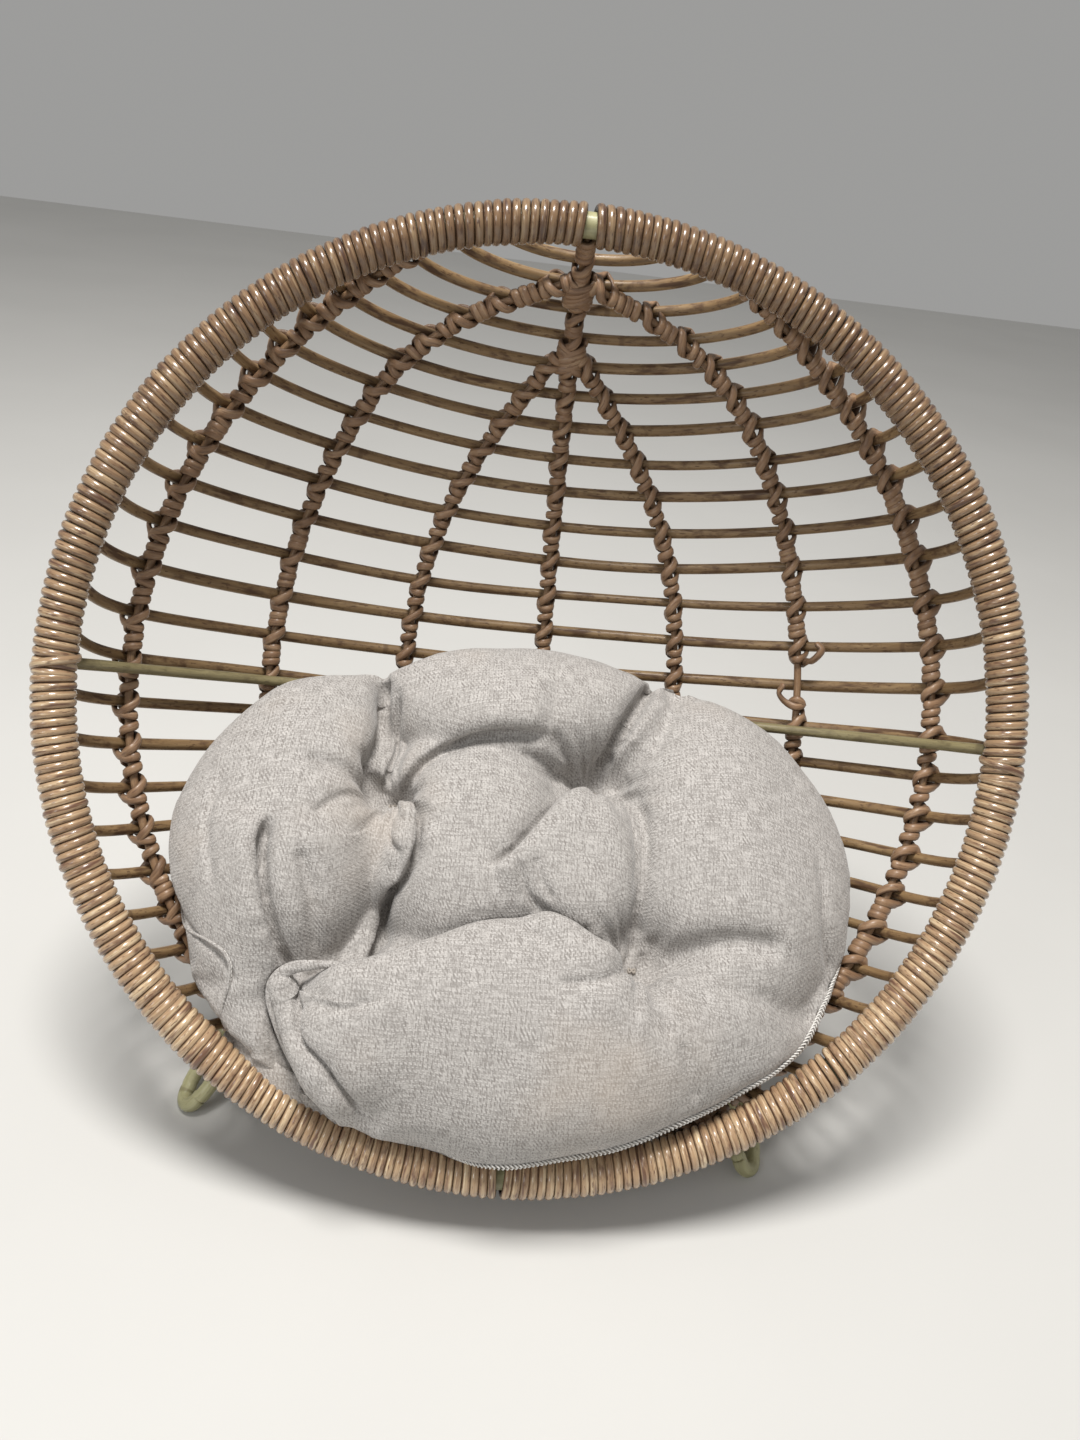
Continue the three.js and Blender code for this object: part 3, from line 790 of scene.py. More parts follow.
def winding(start, end, loose=0.0):
    """Plain turns down a rib, between two runs along it."""
    turns = max(1, round((start - end) / PITCH_BETWEEN))
    sweep = ARRIVE_ANGLE - LEAVE_ANGLE + 360 * turns
    count = max(2, round(sweep / WINDING_STEP))
    share = (np.arange(count - 1) + 1) / count
    angle = np.radians(LEAVE_ANGLE + sweep * share)
    radius = LAY_RADIUS + loose * np.sin(math.pi * share)
    return np.stack([radius * np.cos(angle), radius * np.sin(angle),
                     start + (end - start) * share], -1)


def strand_down(dice, crossings, top, bottom):
    """The strand's points from a run along the rib near its top, through hitches, to the bottom."""
    points, start = [], top
    for position, (_, run) in enumerate(crossings):
        above = crossings[position - 1][1] - run if position else HITCH_ROOM
        below = run - crossings[position + 1][1] if position + 1 < len(crossings) else HITCH_ROOM
        squeeze = min(1.0, min(above, below) / HITCH_ROOM)
        hitch = HITCH * [1, 1, squeeze]
        hitch = hitch + dice.normal(0, 0.25 * MM, hitch.shape)
        points.append(winding(start, run + HITCH_TOP * squeeze, loose=dice.uniform(-0.1, 0.35) * MM))
        points.append(hitch + [0, 0, run])
        start = run + HITCH_BOTTOM * squeeze
    points.append(winding(start, bottom))
    return np.vstack(points)


def add_strand(bundle, rib, points, dice):
    local = smooth_through(points, STRAND_STEPS)
    path = rib.place(local)
    run = run_length(path)
    from_core = local[:, :1], local[:, 1:2] + 1.2 * MM
    frame_run = np.clip(local[:, 2], 0, rib.run[-1])
    facing = rib.at(frame_run, rib.right) * from_core[0] + rib.at(frame_run, rib.inward) * from_core[1]
    width = STRAND_WIDTH * (1 + wander(dice, run[-1], 0.04, 0.14)(run))
    bundle.add(path, facing, width, width * STRAND_THICKNESS / STRAND_WIDTH, sides=8,
               start=dice.uniform(0, GRAIN_SPAN))
    return run[-1]


print("hitch of", len(HITCH), "points, strand", STRAND_WIDTH / MM, "mm thick")

# %% Winding the strand on the ribs
# One crossing came undone on the outer right rib: the strand stops with a curl at one hoop,
# leaves the next one bare, and starts again with another curl at the one below.
LOOSE_RIB = "outer_right"
CURL_BELOW_HITCH = np.array([
    (5.5, 2.5, -9.0), (9.5, 5.5, -8.2), (13.5, 6.5, -5.0), (15.5, 5.0, -1.5), (13.0, 4.0, 1.5),
]) * MM
CURL_ABOVE_HITCH = np.array([
    (-7.0, 7.5, 24.0), (-9.5, 6.5, 19.0), (-6.0, 5.5, 14.0), (0.5, 5.0, 11.0), (4.4, 1.2, 12.5),
    (1.0, 4.2, 15.5), (-4.0, 0.5, 13.0), (-1.5, -4.2, 10.5), (3.0, -3.2, 8.6),
]) * MM
LAST_ROW, FIRST_ROW = 2, 0
STARTS_ABOVE = 7 * MM


def wind_rib(number, rib):
    dice = np.random.default_rng(300 + number)
    crossings, bundle = rib.crossings(), Bundle()
    top, bottom = rib.run[-1] + 2 * MM, -2 * MM
    if rib.name != LOOSE_RIB:
        length = add_strand(bundle, rib, strand_down(dice, crossings, top, bottom), dice)
    else:
        last, first = dict(crossings)[LAST_ROW], dict(crossings)[FIRST_ROW]
        above = [c for c in crossings if c[1] >= last]
        below = [c for c in crossings if c[1] <= first]
        upper = strand_down(dice, above, top, last + HITCH_BOTTOM)
        upper = np.vstack([upper[:-len(winding(0, 0))], CURL_BELOW_HITCH + [0, 0, last]])
        lower = strand_down(dice, below, first + STARTS_ABOVE, bottom)
        skip = len(winding(0, 0))
        lower = np.vstack([CURL_ABOVE_HITCH + [0, 0, first], lower[skip:]])
        length = add_strand(bundle, rib, upper, dice) + add_strand(bundle, rib, lower, dice)
    bundle.piece(f"rib_strand_{rib.name}", STRAND_FINISH, slot="binding_strand",
                 replaces=[f"rib_wrap_{rib.name}"])
    print(rib.name, "rib's strand is", round(length, 2), "m long")


for number, rib in enumerate(ribs.values()):
    wind_rib(number, rib)

# %% [markdown]
# ## Where the ribs meet
# The inner ribs run into the middle rib, and the outer ones too, higher up. The strand covers each
# meeting with a few crowded turns, so a knot of cane sits there. The knots belong to the middle
# rib's binding, and are made as a piece of their own so that the rib's strand stays one run.

# %% Binding the meetings
BINDING_RADIUS = 5.2 * MM
BINDING_TURNS = 4
BINDING_LENGTH = 11 * MM
BINDING_WIDE, BINDING_FLAT, BINDING_SLANT = 1.25, 0.85, 3.2 * MM


def bind_meeting(bundle, dice, latitude):
    middle = ribs["middle"]
    run = float(np.interp(latitude, middle.latitude, middle.run))
    for slant in (1, -1):
        turn = np.linspace(0, BINDING_TURNS * FULL_TURN, BINDING_TURNS * STEPS_PER_TURN)
        share = turn / turn[-1]
        radius = BINDING_RADIUS + wander(dice, turn[-1], 3, 0.8 * MM)(turn) + (slant > 0) * 0.8 * MM
        local = np.stack([
            BINDING_WIDE * radius * np.cos(turn), radius * np.sin(turn) * BINDING_FLAT,
            run + BINDING_LENGTH * (share - 0.5) + slant * BINDING_SLANT * np.cos(turn)], -1)
        path = middle.place(local)
        bundle.add(path, path - middle.place(local * [0, 0, 1]), STRAND_WIDTH, STRAND_THICKNESS,
                   sides=8, start=dice.uniform(0, GRAIN_SPAN))


dice = np.random.default_rng(400)
meetings = Bundle()
for way in (1, -1):
    for join in sorted({join for _, join, _, end in RIBS.values() if end == 0 and join < 90}):
        bind_meeting(meetings, dice, way * (join - 2.5))
meetings.piece("rib_meeting_knots", STRAND_FINISH, slot="binding_strand")
print("four knots where ribs meet")

# %% [markdown]
# ## The feet
# Each foot is one length of green cane bent into a hairpin. The bend stands on the floor, slightly
# flattened where it rubs, and the two ends go up to the bowl side by side, where strand lashes
# them together and loops them to the hoops above.

# %% Hairpin feet
LEG_WIDTH = 8.5 * MM
LEG_BEND_RADIUS, LEG_BELLY, LEG_TOP_SPREAD = 7 * MM, 10 * MM, 4.6 * MM
LEG_BELOW_BOWL = 16 * MM
LEG_INTO_BOWL = 8 * MM
SOLE_FLAT = 1.2 * MM
# where each foot stands, left-right and front-back of the middle of the rim, and the longitude
# and latitude at which it meets the bowl
LEGS = {
    "front_left": ((-172, -58), -44, -42),
    "front_right": ((142, -77), 48, -47),
    "rear_left": ((-150, 95), -36, -24),
    "rear_right": ((150, 95), 36, -24),
}


class Hairpin:
    """A foot's own frame: across and along its two shafts, in the room."""

    def __init__(self, name):
        (x, y), longitude, latitude = LEGS[name]
        self.name = name
        self.foot = np.array([RIM_MIDDLE[0] + x * MM, RIM_MIDDLE[1] + y * MM,
                              LEG_WIDTH / 2 - SOLE_FLAT])
        top = to_room(bowl_point(longitude, latitude, LEG_BELOW_BOWL))
        self.along = unit(top - self.foot)
        self.length = float(np.linalg.norm(top - self.foot))
        offset = self.foot - RIM_MIDDLE
        across = unit(np.array([offset[1], -offset[0], 0.0]))
        self.across = unit(across - self.along * (across @ self.along))
        self.thick = np.cross(self.along, self.across)

    def place(self, local):
        """Points given as (across, thick, along) put in the bowl's frame."""
        room = self.foot + local @ np.array([self.across, self.thick, self.along])
        return (room - RIM_MIDDLE) @ BOWL_AXES.T

    def shaft_spread(self, along):
        up = np.clip((along - LEG_BEND_RADIUS) / (self.length - LEG_BEND_RADIUS), 0, 1.05)
        close = LEG_BEND_RADIUS + (LEG_TOP_SPREAD - LEG_BEND_RADIUS) * up
        return close + (LEG_BELLY - LEG_BEND_RADIUS) * np.sin(math.pi * np.sqrt(np.minimum(up, 1)))


BEND_STEPS, SHAFT_STEPS, FOOT_SIDES = 14, 60, 16


def bend_foot(hairpin, dice, start):
    quarter = np.linspace(0, math.pi / 2, BEND_STEPS)
    bend = np.stack([LEG_BEND_RADIUS * np.sin(quarter), 0 * quarter,
                     LEG_BEND_RADIUS * (1 - np.cos(quarter))], -1)
    along = np.linspace(LEG_BEND_RADIUS, hairpin.length + LEG_INTO_BOWL, SHAFT_STEPS)[1:]
    shaft = np.stack([hairpin.shaft_spread(along), 0 * along, along], -1)
    half = np.vstack([bend, shaft])
    local = np.vstack([half[:0:-1] * [-1, 1, 1], half])
    run = run_length(local)
    local[:, 1] += wander(dice, run[-1], 0.05, 0.5 * MM)(run)
    facing = np.tile(hairpin.place(np.array([[0, 1.0, 0]])) - hairpin.place(np.zeros((1, 3))),
                     (len(local), 1))
    width = LEG_WIDTH * (1 + wander(dice, run[-1], 0.06, 0.05)(run))
    bundle = Bundle()
    bundle.add(hairpin.place(local), facing, width, sides=FOOT_SIDES, start=start)
    made = bundle.piece(f"foot_{hairpin.name}", GREEN_FINISH, slot="green_cane",
                        replaces=[f"leg_{hairpin.name}"])
    for vertex in made.data.vertices:
        if vertex.co.z < 0:
            vertex.co.z = 0
    print(hairpin.name, "foot is", round(run[-1], 3), "m of cane")


hairpins = {name: Hairpin(name) for name in LEGS}
for number, hairpin in enumerate(hairpins.values()):
    bend_foot(hairpin, np.random.default_rng(500 + number), 7.0 * number)

# %% Lashings round the feet
LASHING_TURNS = 4
LASHING_BELOW_END = 13 * MM
OVAL_SHARPNESS = 2.5


def oval_turn(angle, half_length, radius):
    """A line round two shafts side by side: right and thick, for an angle round them."""
    cosine, sine = np.cos(angle), np.sin(angle)
    straight = half_length * np.tanh(OVAL_SHARPNESS * cosine)
    return straight + radius * cosine, radius * sine


LASHING_STEPS = 32
# the two crossed turns that sling a foot from the bowl
SLING_FROM, SLING_TURNS, SLING_STEPS = 0.1, 1.35, 64


def lash_foot(hairpin, dice):
    bundle = Bundle()
    count = LASHING_TURNS * LASHING_STEPS
    angle = np.linspace(0, LASHING_TURNS * FULL_TURN, count)
    radius = (LEG_WIDTH + STRAND_THICKNESS) / 2 - 0.1 * MM
    across, thick = oval_turn(angle, LEG_TOP_SPREAD, radius)
    along = (hairpin.length - LASHING_BELOW_END + (angle / angle[-1] - 0.5)
             * LASHING_TURNS * STRAND_WIDTH * 0.98 + wander(dice, angle[-1], 2.5, 0.5 * MM)(angle))
    local = np.stack([across, thick, along], -1)
    path = hairpin.place(local)
    bundle.add(path, path - hairpin.place(local * [0.35, 0, 1]), STRAND_WIDTH, STRAND_THICKNESS,
               sides=8, start=dice.uniform(0, GRAIN_SPAN))
    for slant in (1, -1):
        turn = np.linspace(SLING_FROM, FULL_TURN * SLING_TURNS + SLING_FROM, SLING_STEPS)
        wide = LEG_TOP_SPREAD + radius * 0.9
        loop = np.stack([
            slant * wide * np.cos(turn) * (1 - 0.25 * np.sin(turn)),
            radius * 1.12 * np.sin(turn),
            hairpin.length + 2 * MM + 11 * MM * np.sin(turn * 0.5 + 0.4) ** 2
            - 3 * MM * slant * np.cos(turn)], -1)
        path = hairpin.place(loop)
        bundle.add(path, path - hairpin.place(loop * [0.3, 0, 1]), STRAND_WIDTH, STRAND_THICKNESS,
                   sides=8, start=dice.uniform(0, GRAIN_SPAN))
    bundle.piece(f"foot_lashing_{hairpin.name}", STRAND_FINISH, slot="binding_strand",
                 replaces=[f"leg_lashing_{hairpin.name}"])


for number, hairpin in enumerate(hairpins.values()):
    lash_foot(hairpin, np.random.default_rng(520 + number))
print(len(hairpins), "lashings of", LASHING_TURNS, "turns")

# %% [markdown]
# ## The cushion
# The cushion is a soft round pillow, tied through in three places and sewn shut round its edge. In
# use it has slumped down the bowl: its left side is rolled in over itself, and its front edge is
# puffed up into a fat fold. Simulation alone won't find those folds, so it is built in three steps:
# a closed form whose upper side is a quilt of domes with creases between them, a short cloth
# simulation with air inside to make the fabric taut and to wrinkle it, and then the sewn details.

# %% Cushion measures
CUSHION_TILT = math.radians(25)
CUSHION_MIDDLE = np.array([-4, -99, -49]) * MM
CUSHION_AXES = np.array([
    [1, 0, 0],
    [0, math.cos(CUSHION_TILT), -math.sin(CUSHION_TILT)],
    [0, math.sin(CUSHION_TILT), math.cos(CUSHION_TILT)],
])
# its outline, as places across and along the cushion in millimetres, anticlockwise from the left
OUTLINE = np.array([
    (-189, 8), (-186, 32), (-178, 54), (-162, 80), (-146, 100), (-124, 110), (-100, 114), (-74, 120),
    (-46, 137), (-7, 143), (30, 143), (58, 136), (80, 131), (124, 116), (152, 95), (172, 68),
    (186, 42), (191, 14), (189, -14), (183, -40), (172, -66), (154, -86), (127, -102), (101, -117),
    (75, -128), (50, -136), (26, -142), (2, -144), (-23, -141), (-47, -136), (-68, -137),
    (-87, -131), (-108, -120), (-131, -107), (-150, -93), (-159, -71), (-172, -40), (-183, -18),
]) * MM


def cushion_to_bowl(local):
    return CUSHION_MIDDLE + local @ CUSHION_AXES


def outline_reach(angle):
    """How far the outline is from the cushion's middle in a direction, smoothly."""
    corners = np.arctan2(OUTLINE[:, 1], OUTLINE[:, 0])
    order = np.argsort(corners)
    corners, reach = corners[order], np.linalg.norm(OUTLINE[order], axis=1)
    corners = np.concatenate([corners - FULL_TURN, corners, corners + FULL_TURN])
    reach = np.tile(reach, 3)
    blur = np.linspace(-0.06, 0.06, 5)
    return np.mean([np.interp(angle + b, corners, reach) for b in blur], axis=0)


print("cushion outline of", len(OUTLINE), "points")

# %% The quilt of domes
# Each dome: middle across and along, half width, half length, turn in degrees, height
DOMES = [
    (-134, 26, 66, 102, 6, 51),      # left side, rolled in
    (-124, -74, 30, 34, 0, 27),      # under the roll, at the front left
    (0, 106, 88, 50, 0, 45),         # top
    (-24, 14, 56, 70, -12, 40),      # middle
    (34, 2, 40, 58, 8, 42),          # between the middle and the right
    (126, 30, 72, 108, 6, 48),       # right side
    (36, -92, 142, 66, 3, 51),       # front, puffed over
    (-72, -88, 40, 40, 0, 45),       # the front fold's own end
]
DOME_SHARPNESS = 8
# Each crease: depth, width, then the places it runs through
CREASES = [
    (14, 5, [(-83, 112), (-81, 93), (-78, 75), (-81, 51), (-74, 36)]),
    (8, 3, [(-73, 98), (-71, 74), (-72, 58), (-75, 42)]),
    (4, 5, [(13, 79), (24, 67), (32, 59), (40, 54)]),
    (13, 4.5, [(76, 128), (71, 117), (62, 100), (52, 81), (45, 65), (42, 55)]),
    (4, 5, [(50, 58), (63, 46), (66, 31), (67, 14), (66, -2), (65, -18), (64, -42)]),
    (2.2, 3, [(56, 44), (60, 28), (62, 10), (61, -6)]),
    (4, 4, [(-2, 2), (1, -6), (5, -14), (12, -20), (20, -25)]),
    (2.2, 3, [(8, 4), (12, -8), (20, -18)]),
    (7, 9, [(62, -46), (77, -41), (95, -35), (121, -30), (142, -34)]),
    (5, 3, [(-66, 32), (-66, 11), (-61, 1), (-64, -12)]),
    (5, 2.6, [(-66, -16), (-69, -36), (-70, -50)]),
    (8, 3, [(-105, -64), (-101, -80), (-97, -94), (-86, -104), (-75, -115), (-66, -124)]),
    (3, 4, [(-101, -82), (-96, -77), (-87, -79), (-77, -80), (-63, -75)]),
    (3, 5, [(163, 20), (165, 2), (166, -19), (176, -42)]),
    (2.5, 5, [(84, -82), (90, -98), (97, -110)]),
    (3, 4, [(42, 56), (20, 62), (-4, 66)]),
    (2.5, 4, [(66, -46), (44, -58), (20, -62)]),
    (2.5, 4, [(66, -46), (74, -66), (78, -84)]),
    (3, 5, [(-74, 36), (-96, 44), (-118, 46)]),
    (3, 4, [(-74, 36), (-94, 28), (-108, 14)]),
    (4, 6, [(-112, -2), (-104, -24), (-98, -52)]),
    (2.5, 5, [(-158, 40), (-160, 10), (-150, -26)]),
    (3, 2.2, [(-186, 2), (-180, -18), (-168, -37), (-156, -48), (-143, -57), (-134, -67)]),
]
# Each fold: how high its left side stands, its wall, how far the height fades over, how deep
# the trough at its foot is, then the places it runs through
FOLDS = [
    (11, 2.5, 30, 10, [(70, -46), (52, -45), (31, -34), (17, -28), (3, -31), (-17, -35), (-37, -44),
                       (-56, -51), (-72, -56), (-90, -60), (-112, -66)]),
    (9, 2.2, 18, 9, [(-74, -60), (-73, -45), (-72, -32), (-67, -16), (-60, -10), (-56, 1),
                     (-56, 17), (-59, 28), (-66, 35), (-78, 38)]),
    (6, 3, 18, 6, [(-74, 36), (-66, 42), (-57, 56), (-42, 68), (-26, 74), (-4, 77), (14, 76)]),
    (7, 2.5, 20, 8, [(46, 58), (27, 44), (15, 29), (5, 15), (-2, 6), (-16, -5)]),
    (7, 3, 26, 8, [(-108, -70), (-114, -58), (-120, -48), (-126, -34), (-130, -19), (-133, -1),
                   (-129, 14)]),
    (12, 2.5, 16, 19, [(-104, -58), (-113, -64), (-115, -70), (-113, -76), (-107, -90),
                       (-100, -103), (-91, -116), (-81, -124), (-76, -134)]),
]
TUFTS = {1: (42, 57), 2: (65, -44), 3: (-70, 37)}
TUFT_DEPTH, TUFT_WIDTH = 15, 10
TAPER = 0.14


def line_field(across, along, corners):
    """How far places are from a line, on which side of it (1 is left) and how far along it."""
    nearest = np.full(np.shape(across), np.inf)
    side, passed = np.zeros_like(nearest), np.zeros_like(nearest)
    line = smooth_through(np.array(corners, float), 4)
    for number, ((x0, y0), (x1, y1)) in enumerate(zip(line[:-1], line[1:])):
        dx, dy = x1 - x0, y1 - y0
        share = np.clip(((across - x0) * dx + (along - y0) * dy) / (dx * dx + dy * dy), 0, 1)
        off_x, off_y = across - x0 - share * dx, along - y0 - share * dy
        away = np.hypot(off_x, off_y)
        closer = away < nearest
        nearest = np.where(closer, away, nearest)
        side = np.where(closer, np.sign(dx * off_y - dy * off_x), side)
        passed = np.where(closer, (number + share) / (len(line) - 1), passed)
    taper = smooth(passed / TAPER) * smooth((1 - passed) / TAPER)
    return nearest, side, taper


def pressed_folds(across, along, narrow=1.0):
    """How much the folds and creases raise or lower the upper side, in millimetres."""
    height = np.zeros(np.shape(across))
    for depth, width, corners in CREASES:
        away, _, taper = line_field(across, along, corners)
        height -= depth * (0.25 + 0.75 * taper) * np.exp(-(away / width / narrow) ** 2)
    for rise, wall, reach, trough, corners in FOLDS:
        wall = wall * narrow
        away, side, taper = line_field(across, along, corners)
        over = away * side
        height += taper * rise * np.exp(-np.maximum(over, 0) / reach) * smooth(over / wall / 2 + 0.5)
        height -= taper * trough * np.exp(-((over + 1.2 * wall) / (1.6 * wall)) ** 2)
    for x, y in TUFTS.values():
        away = np.hypot(across - x, along - y)
        height -= TUFT_DEPTH * np.exp(-(away / TUFT_WIDTH) ** 1.2)
    return height


def quilt_height(across, along):
    """Height of the upper side over the cushion's middle plane, in millimetres."""
    powers = 0
    for middle_x, middle_y, half_width, half_length, turn, height in DOMES:
        cosine, sine = math.cos(math.radians(turn)), math.sin(math.radians(turn))
        x, y = across - middle_x, along - middle_y
        u, v = (x * cosine - y * sine) / half_width, (x * sine + y * cosine) / half_length
        dome = height * np.clip(1 - (u * u + v * v) ** 1.4, 0, 1) ** 0.55
        powers = powers + dome ** DOME_SHARPNESS
    return np.maximum(powers ** (1 / DOME_SHARPNESS) + pressed_folds(across, along), -8)


print(len(DOMES), "domes,", len(CREASES), "creases and", len(FOLDS), "folds")

# %% Keeping the cushion in the bowl
OFF_RIBS, OFF_POLE, POLE_BAND = 10.5 * MM, 16.5 * MM, 16 * MM


def inside_bowl(points, spare=0.0):
    """Points in the bowl's frame, drawn in until they clear the ribs and the level pole."""
    off = OFF_RIBS + (OFF_POLE - OFF_RIBS) * np.exp(-(points[:, 1] / POLE_BAND) ** 4) + spare
    radius, depth = RIM_RADIUS - off, BOWL_DEPTH - off
    crowding = 1 - BACK_CROWDING * (points[:, 2] / RIM_RADIUS) ** 2
    deep = np.minimum(points[:, 2], 0) / depth
    reach = np.sqrt((points[:, 0] / radius) ** 2 + (points[:, 1] / (radius * crowding)) ** 2 + deep ** 2)
    return points / np.maximum(reach, 1)[:, None]


# %% The closed form
AROUND, RINGS = 240, 90
CUSHION_HALF_THICKNESS = 52 * MM
SHRINK_FOR_AIR = 2 * MM
EDGE_LEVEL = 13 * MM


def cushion_side(upper):
    """Rings of points from the middle of one side out to the edge."""
    turn = np.arange(AROUND) / AROUND * FULL_TURN
    share = np.sin(np.linspace(0, math.pi / 2, RINGS))[:, None]
    reach = outline_reach(turn)[None] - SHRINK_FOR_AIR
    across, along = share * reach * np.cos(turn), share * reach * np.sin(turn)
    if upper:
        edge = np.clip(1 - share ** 4, 0, 1) ** 0.45
        height = EDGE_LEVEL + (quilt_height(across / MM, along / MM) * MM - EDGE_LEVEL) * edge
    else:
        edge = np.clip(1 - share ** 3, 0, 1) ** 0.45
        height = EDGE_LEVEL - (CUSHION_HALF_THICKNESS + EDGE_LEVEL) * edge + 0 * across
    return np.stack([across, along, height], -1)


def closed_form():
    upper, lower = cushion_side(True), cushion_side(False)
    lower = lower[:-1]
    rows = [upper[0, 0][None], *upper[1:], *lower[:0:-1], lower[0, 0][None]]
    points = np.vstack(rows)
    starts = np.concatenate([[0], np.cumsum([len(row) for row in rows])])
    faces = []
    for level in range(len(rows) - 1):
        near, far = rows[level], rows[level + 1]
        for i in range(AROUND):
            j = (i + 1) % AROUND
            if len(near) == 1:
                faces.append((starts[level], starts[level + 1] + i, starts[level + 1] + j))
            elif len(far) == 1:
                faces.append((starts[level] + i, starts[level + 1], starts[level] + j))
            else:
                faces.append((starts[level] + i, starts[level + 1] + i,
                              starts[level + 1] + j, starts[level] + j))
    mesh = bpy.data.meshes.new("cushion_cloth")
    placed = inside_bowl(cushion_to_bowl(points), SHRINK_FOR_AIR)
    mesh.from_pydata(to_room(placed).tolist(), [], [tuple(map(int, face)) for face in faces])
    made = bpy.data.objects.new("cushion_cloth", mesh)
    bpy.context.scene.collection.objects.link(made)
    return made


def apply_modifiers(made):
    graph = bpy.context.evaluated_depsgraph_get()
    mesh = bpy.data.meshes.new_from_object(made.evaluated_get(graph))
    made.modifiers.clear()
    made.data = mesh


def mesh_points(mesh):
    flat = np.zeros(len(mesh.vertices) * 3, np.float32)
    mesh.vertices.foreach_get("co", flat)
    return flat.reshape(-1, 3).astype(float)


def set_points(mesh, points):
    mesh.vertices.foreach_set("co", points.astype(np.float32).ravel())
    mesh.update()


CLOTH_VOXEL, FINER_LEVELS = 4 * MM, 2

cushion = closed_form()
remesh = cushion.modifiers.new("even_cloth", "REMESH")
remesh.mode, remesh.voxel_size = "VOXEL", CLOTH_VOXEL
apply_modifiers(cushion)
print("cushion cloth has", len(cushion.data.vertices), "points")

# %% Cloth simulation
SIM_FRAMES = 20
AIR_PRESSURE = 4.0
MOST_MOVEMENT = 7 * MM
DEEP_CREASE = 8
CLOTH_QUALITY, CLOTH_MASS = 5, 0.25
STRETCH_STIFFNESS, SHEAR_STIFFNESS, BEND_STIFFNESS = 12, 5, 0.35
# how far from a tie and from a fold the fabric is held, in millimetres, and how firmly at a fold
TIE_HOLD_REACH, FOLD_HOLD_REACH, FOLD_HOLD = 7, 4, 0.9
HELD_ABOVE, LEAST_HOLD = -10, 0.05


def to_bowl(points):
    return (points - RIM_MIDDLE) @ BOWL_AXES.T


def cushion_places(points):
    """Across, along and height over the cushion's middle plane, in millimetres."""
    return (to_bowl(points) - CUSHION_MIDDLE) @ CUSHION_AXES.T / MM


def pin_tufts(made):
    """The fabric is held where it is tied down, and along the deepest folds."""
    local = cushion_places(mesh_points(made.data))
    hold = np.zeros(len(local))
    for x, y in TUFTS.values():
        away = np.hypot(local[:, 0] - x, local[:, 1] - y)
        hold = np.maximum(hold, np.exp(-(away / TIE_HOLD_REACH) ** 2))
    deepest = [corners for depth, _, corners in CREASES if depth >= DEEP_CREASE]
    for corners in deepest + [fold[-1] for fold in FOLDS]:
        away, _, taper = line_field(local[:, 0], local[:, 1], corners)
        hold = np.maximum(hold, FOLD_HOLD * taper * np.exp(-(away / FOLD_HOLD_REACH) ** 2))
    hold = np.where(local[:, 2] > HELD_ABOVE, hold, 0)
    group = made.vertex_groups.new(name="tied")
    for index in np.nonzero(hold > LEAST_HOLD)[0]:
        group.add([int(index)], float(hold[index]), "REPLACE")


def blow_up(made):
    before = mesh_points(made.data)
    pin_tufts(made)
    cloth = made.modifiers.new("air", "CLOTH")
    settings = cloth.settings
    settings.use_pressure, settings.uniform_pressure_force = True, AIR_PRESSURE
    settings.quality, settings.mass = CLOTH_QUALITY, CLOTH_MASS
    settings.tension_stiffness = settings.compression_stiffness = STRETCH_STIFFNESS
    settings.shear_stiffness, settings.bending_stiffness = SHEAR_STIFFNESS, BEND_STIFFNESS
    settings.vertex_group_mass = "tied"
    settings.effector_weights.gravity = 0
    cloth.point_cache.frame_start, cloth.point_cache.frame_end = 1, SIM_FRAMES
    for number in range(1, SIM_FRAMES + 1):
        bpy.context.scene.frame_set(number)
    apply_modifiers(made)
    moved = mesh_points(made.data) - before
    length = np.linalg.norm(moved, axis=1, keepdims=True)
    moved *= MOST_MOVEMENT * np.tanh(length / MOST_MOVEMENT) / np.maximum(length, 1e-9)
    set_points(made.data, to_room(inside_bowl(to_bowl(before + moved))))
    bpy.context.scene.frame_set(1)
    print("cloth moved", round(float(length.mean()) / MM, 1), "mm on average")


blow_up(cushion)
finer = cushion.modifiers.new("finer_cloth", "SUBSURF")
finer.levels = finer.render_levels = FINER_LEVELS
apply_modifiers(cushion)
print("cushion has", len(cushion.data.vertices), "points")

# %% [markdown]
# ## Small wrinkles
# Air smooths the cloth, but real cotton keeps small tight wrinkles that run out of every tie and
# along every fold. They are pressed in after the simulation, on the finer mesh: spokes round each
# tie, and a slow unevenness of the stuffing everywhere.

# %% Wrinkles and stuffing
SPOKES = 11
SPOKE_REACH, SPOKE_PEAK, SPOKE_START = 30, 9, 10
LUMP_WAVES = 14
# size in metres, seed and height in millimetres of the stuffing's lumps
STUFFING = ((0.075, 61, 1.2), (0.03, 62, 0.3))
UPPER_FADE = 8
PRESS_AGAIN, PRESS_NARROW = 0.6, 0.6


def lumps(points, size, seed):
    """A smooth three-way wander over space, for lumpy stuffing, about -1 to 1."""
    dice = np.random.default_rng(seed)
    total = np.zeros(len(points))
    for _ in range(LUMP_WAVES):
        direction = unit(dice.normal(size=3))
        total += np.sin(points @ direction * FULL_TURN / (size * dice.uniform(0.7, 1.5))
                        + dice.uniform(0, FULL_TURN))
    return total / math.sqrt(LUMP_WAVES)


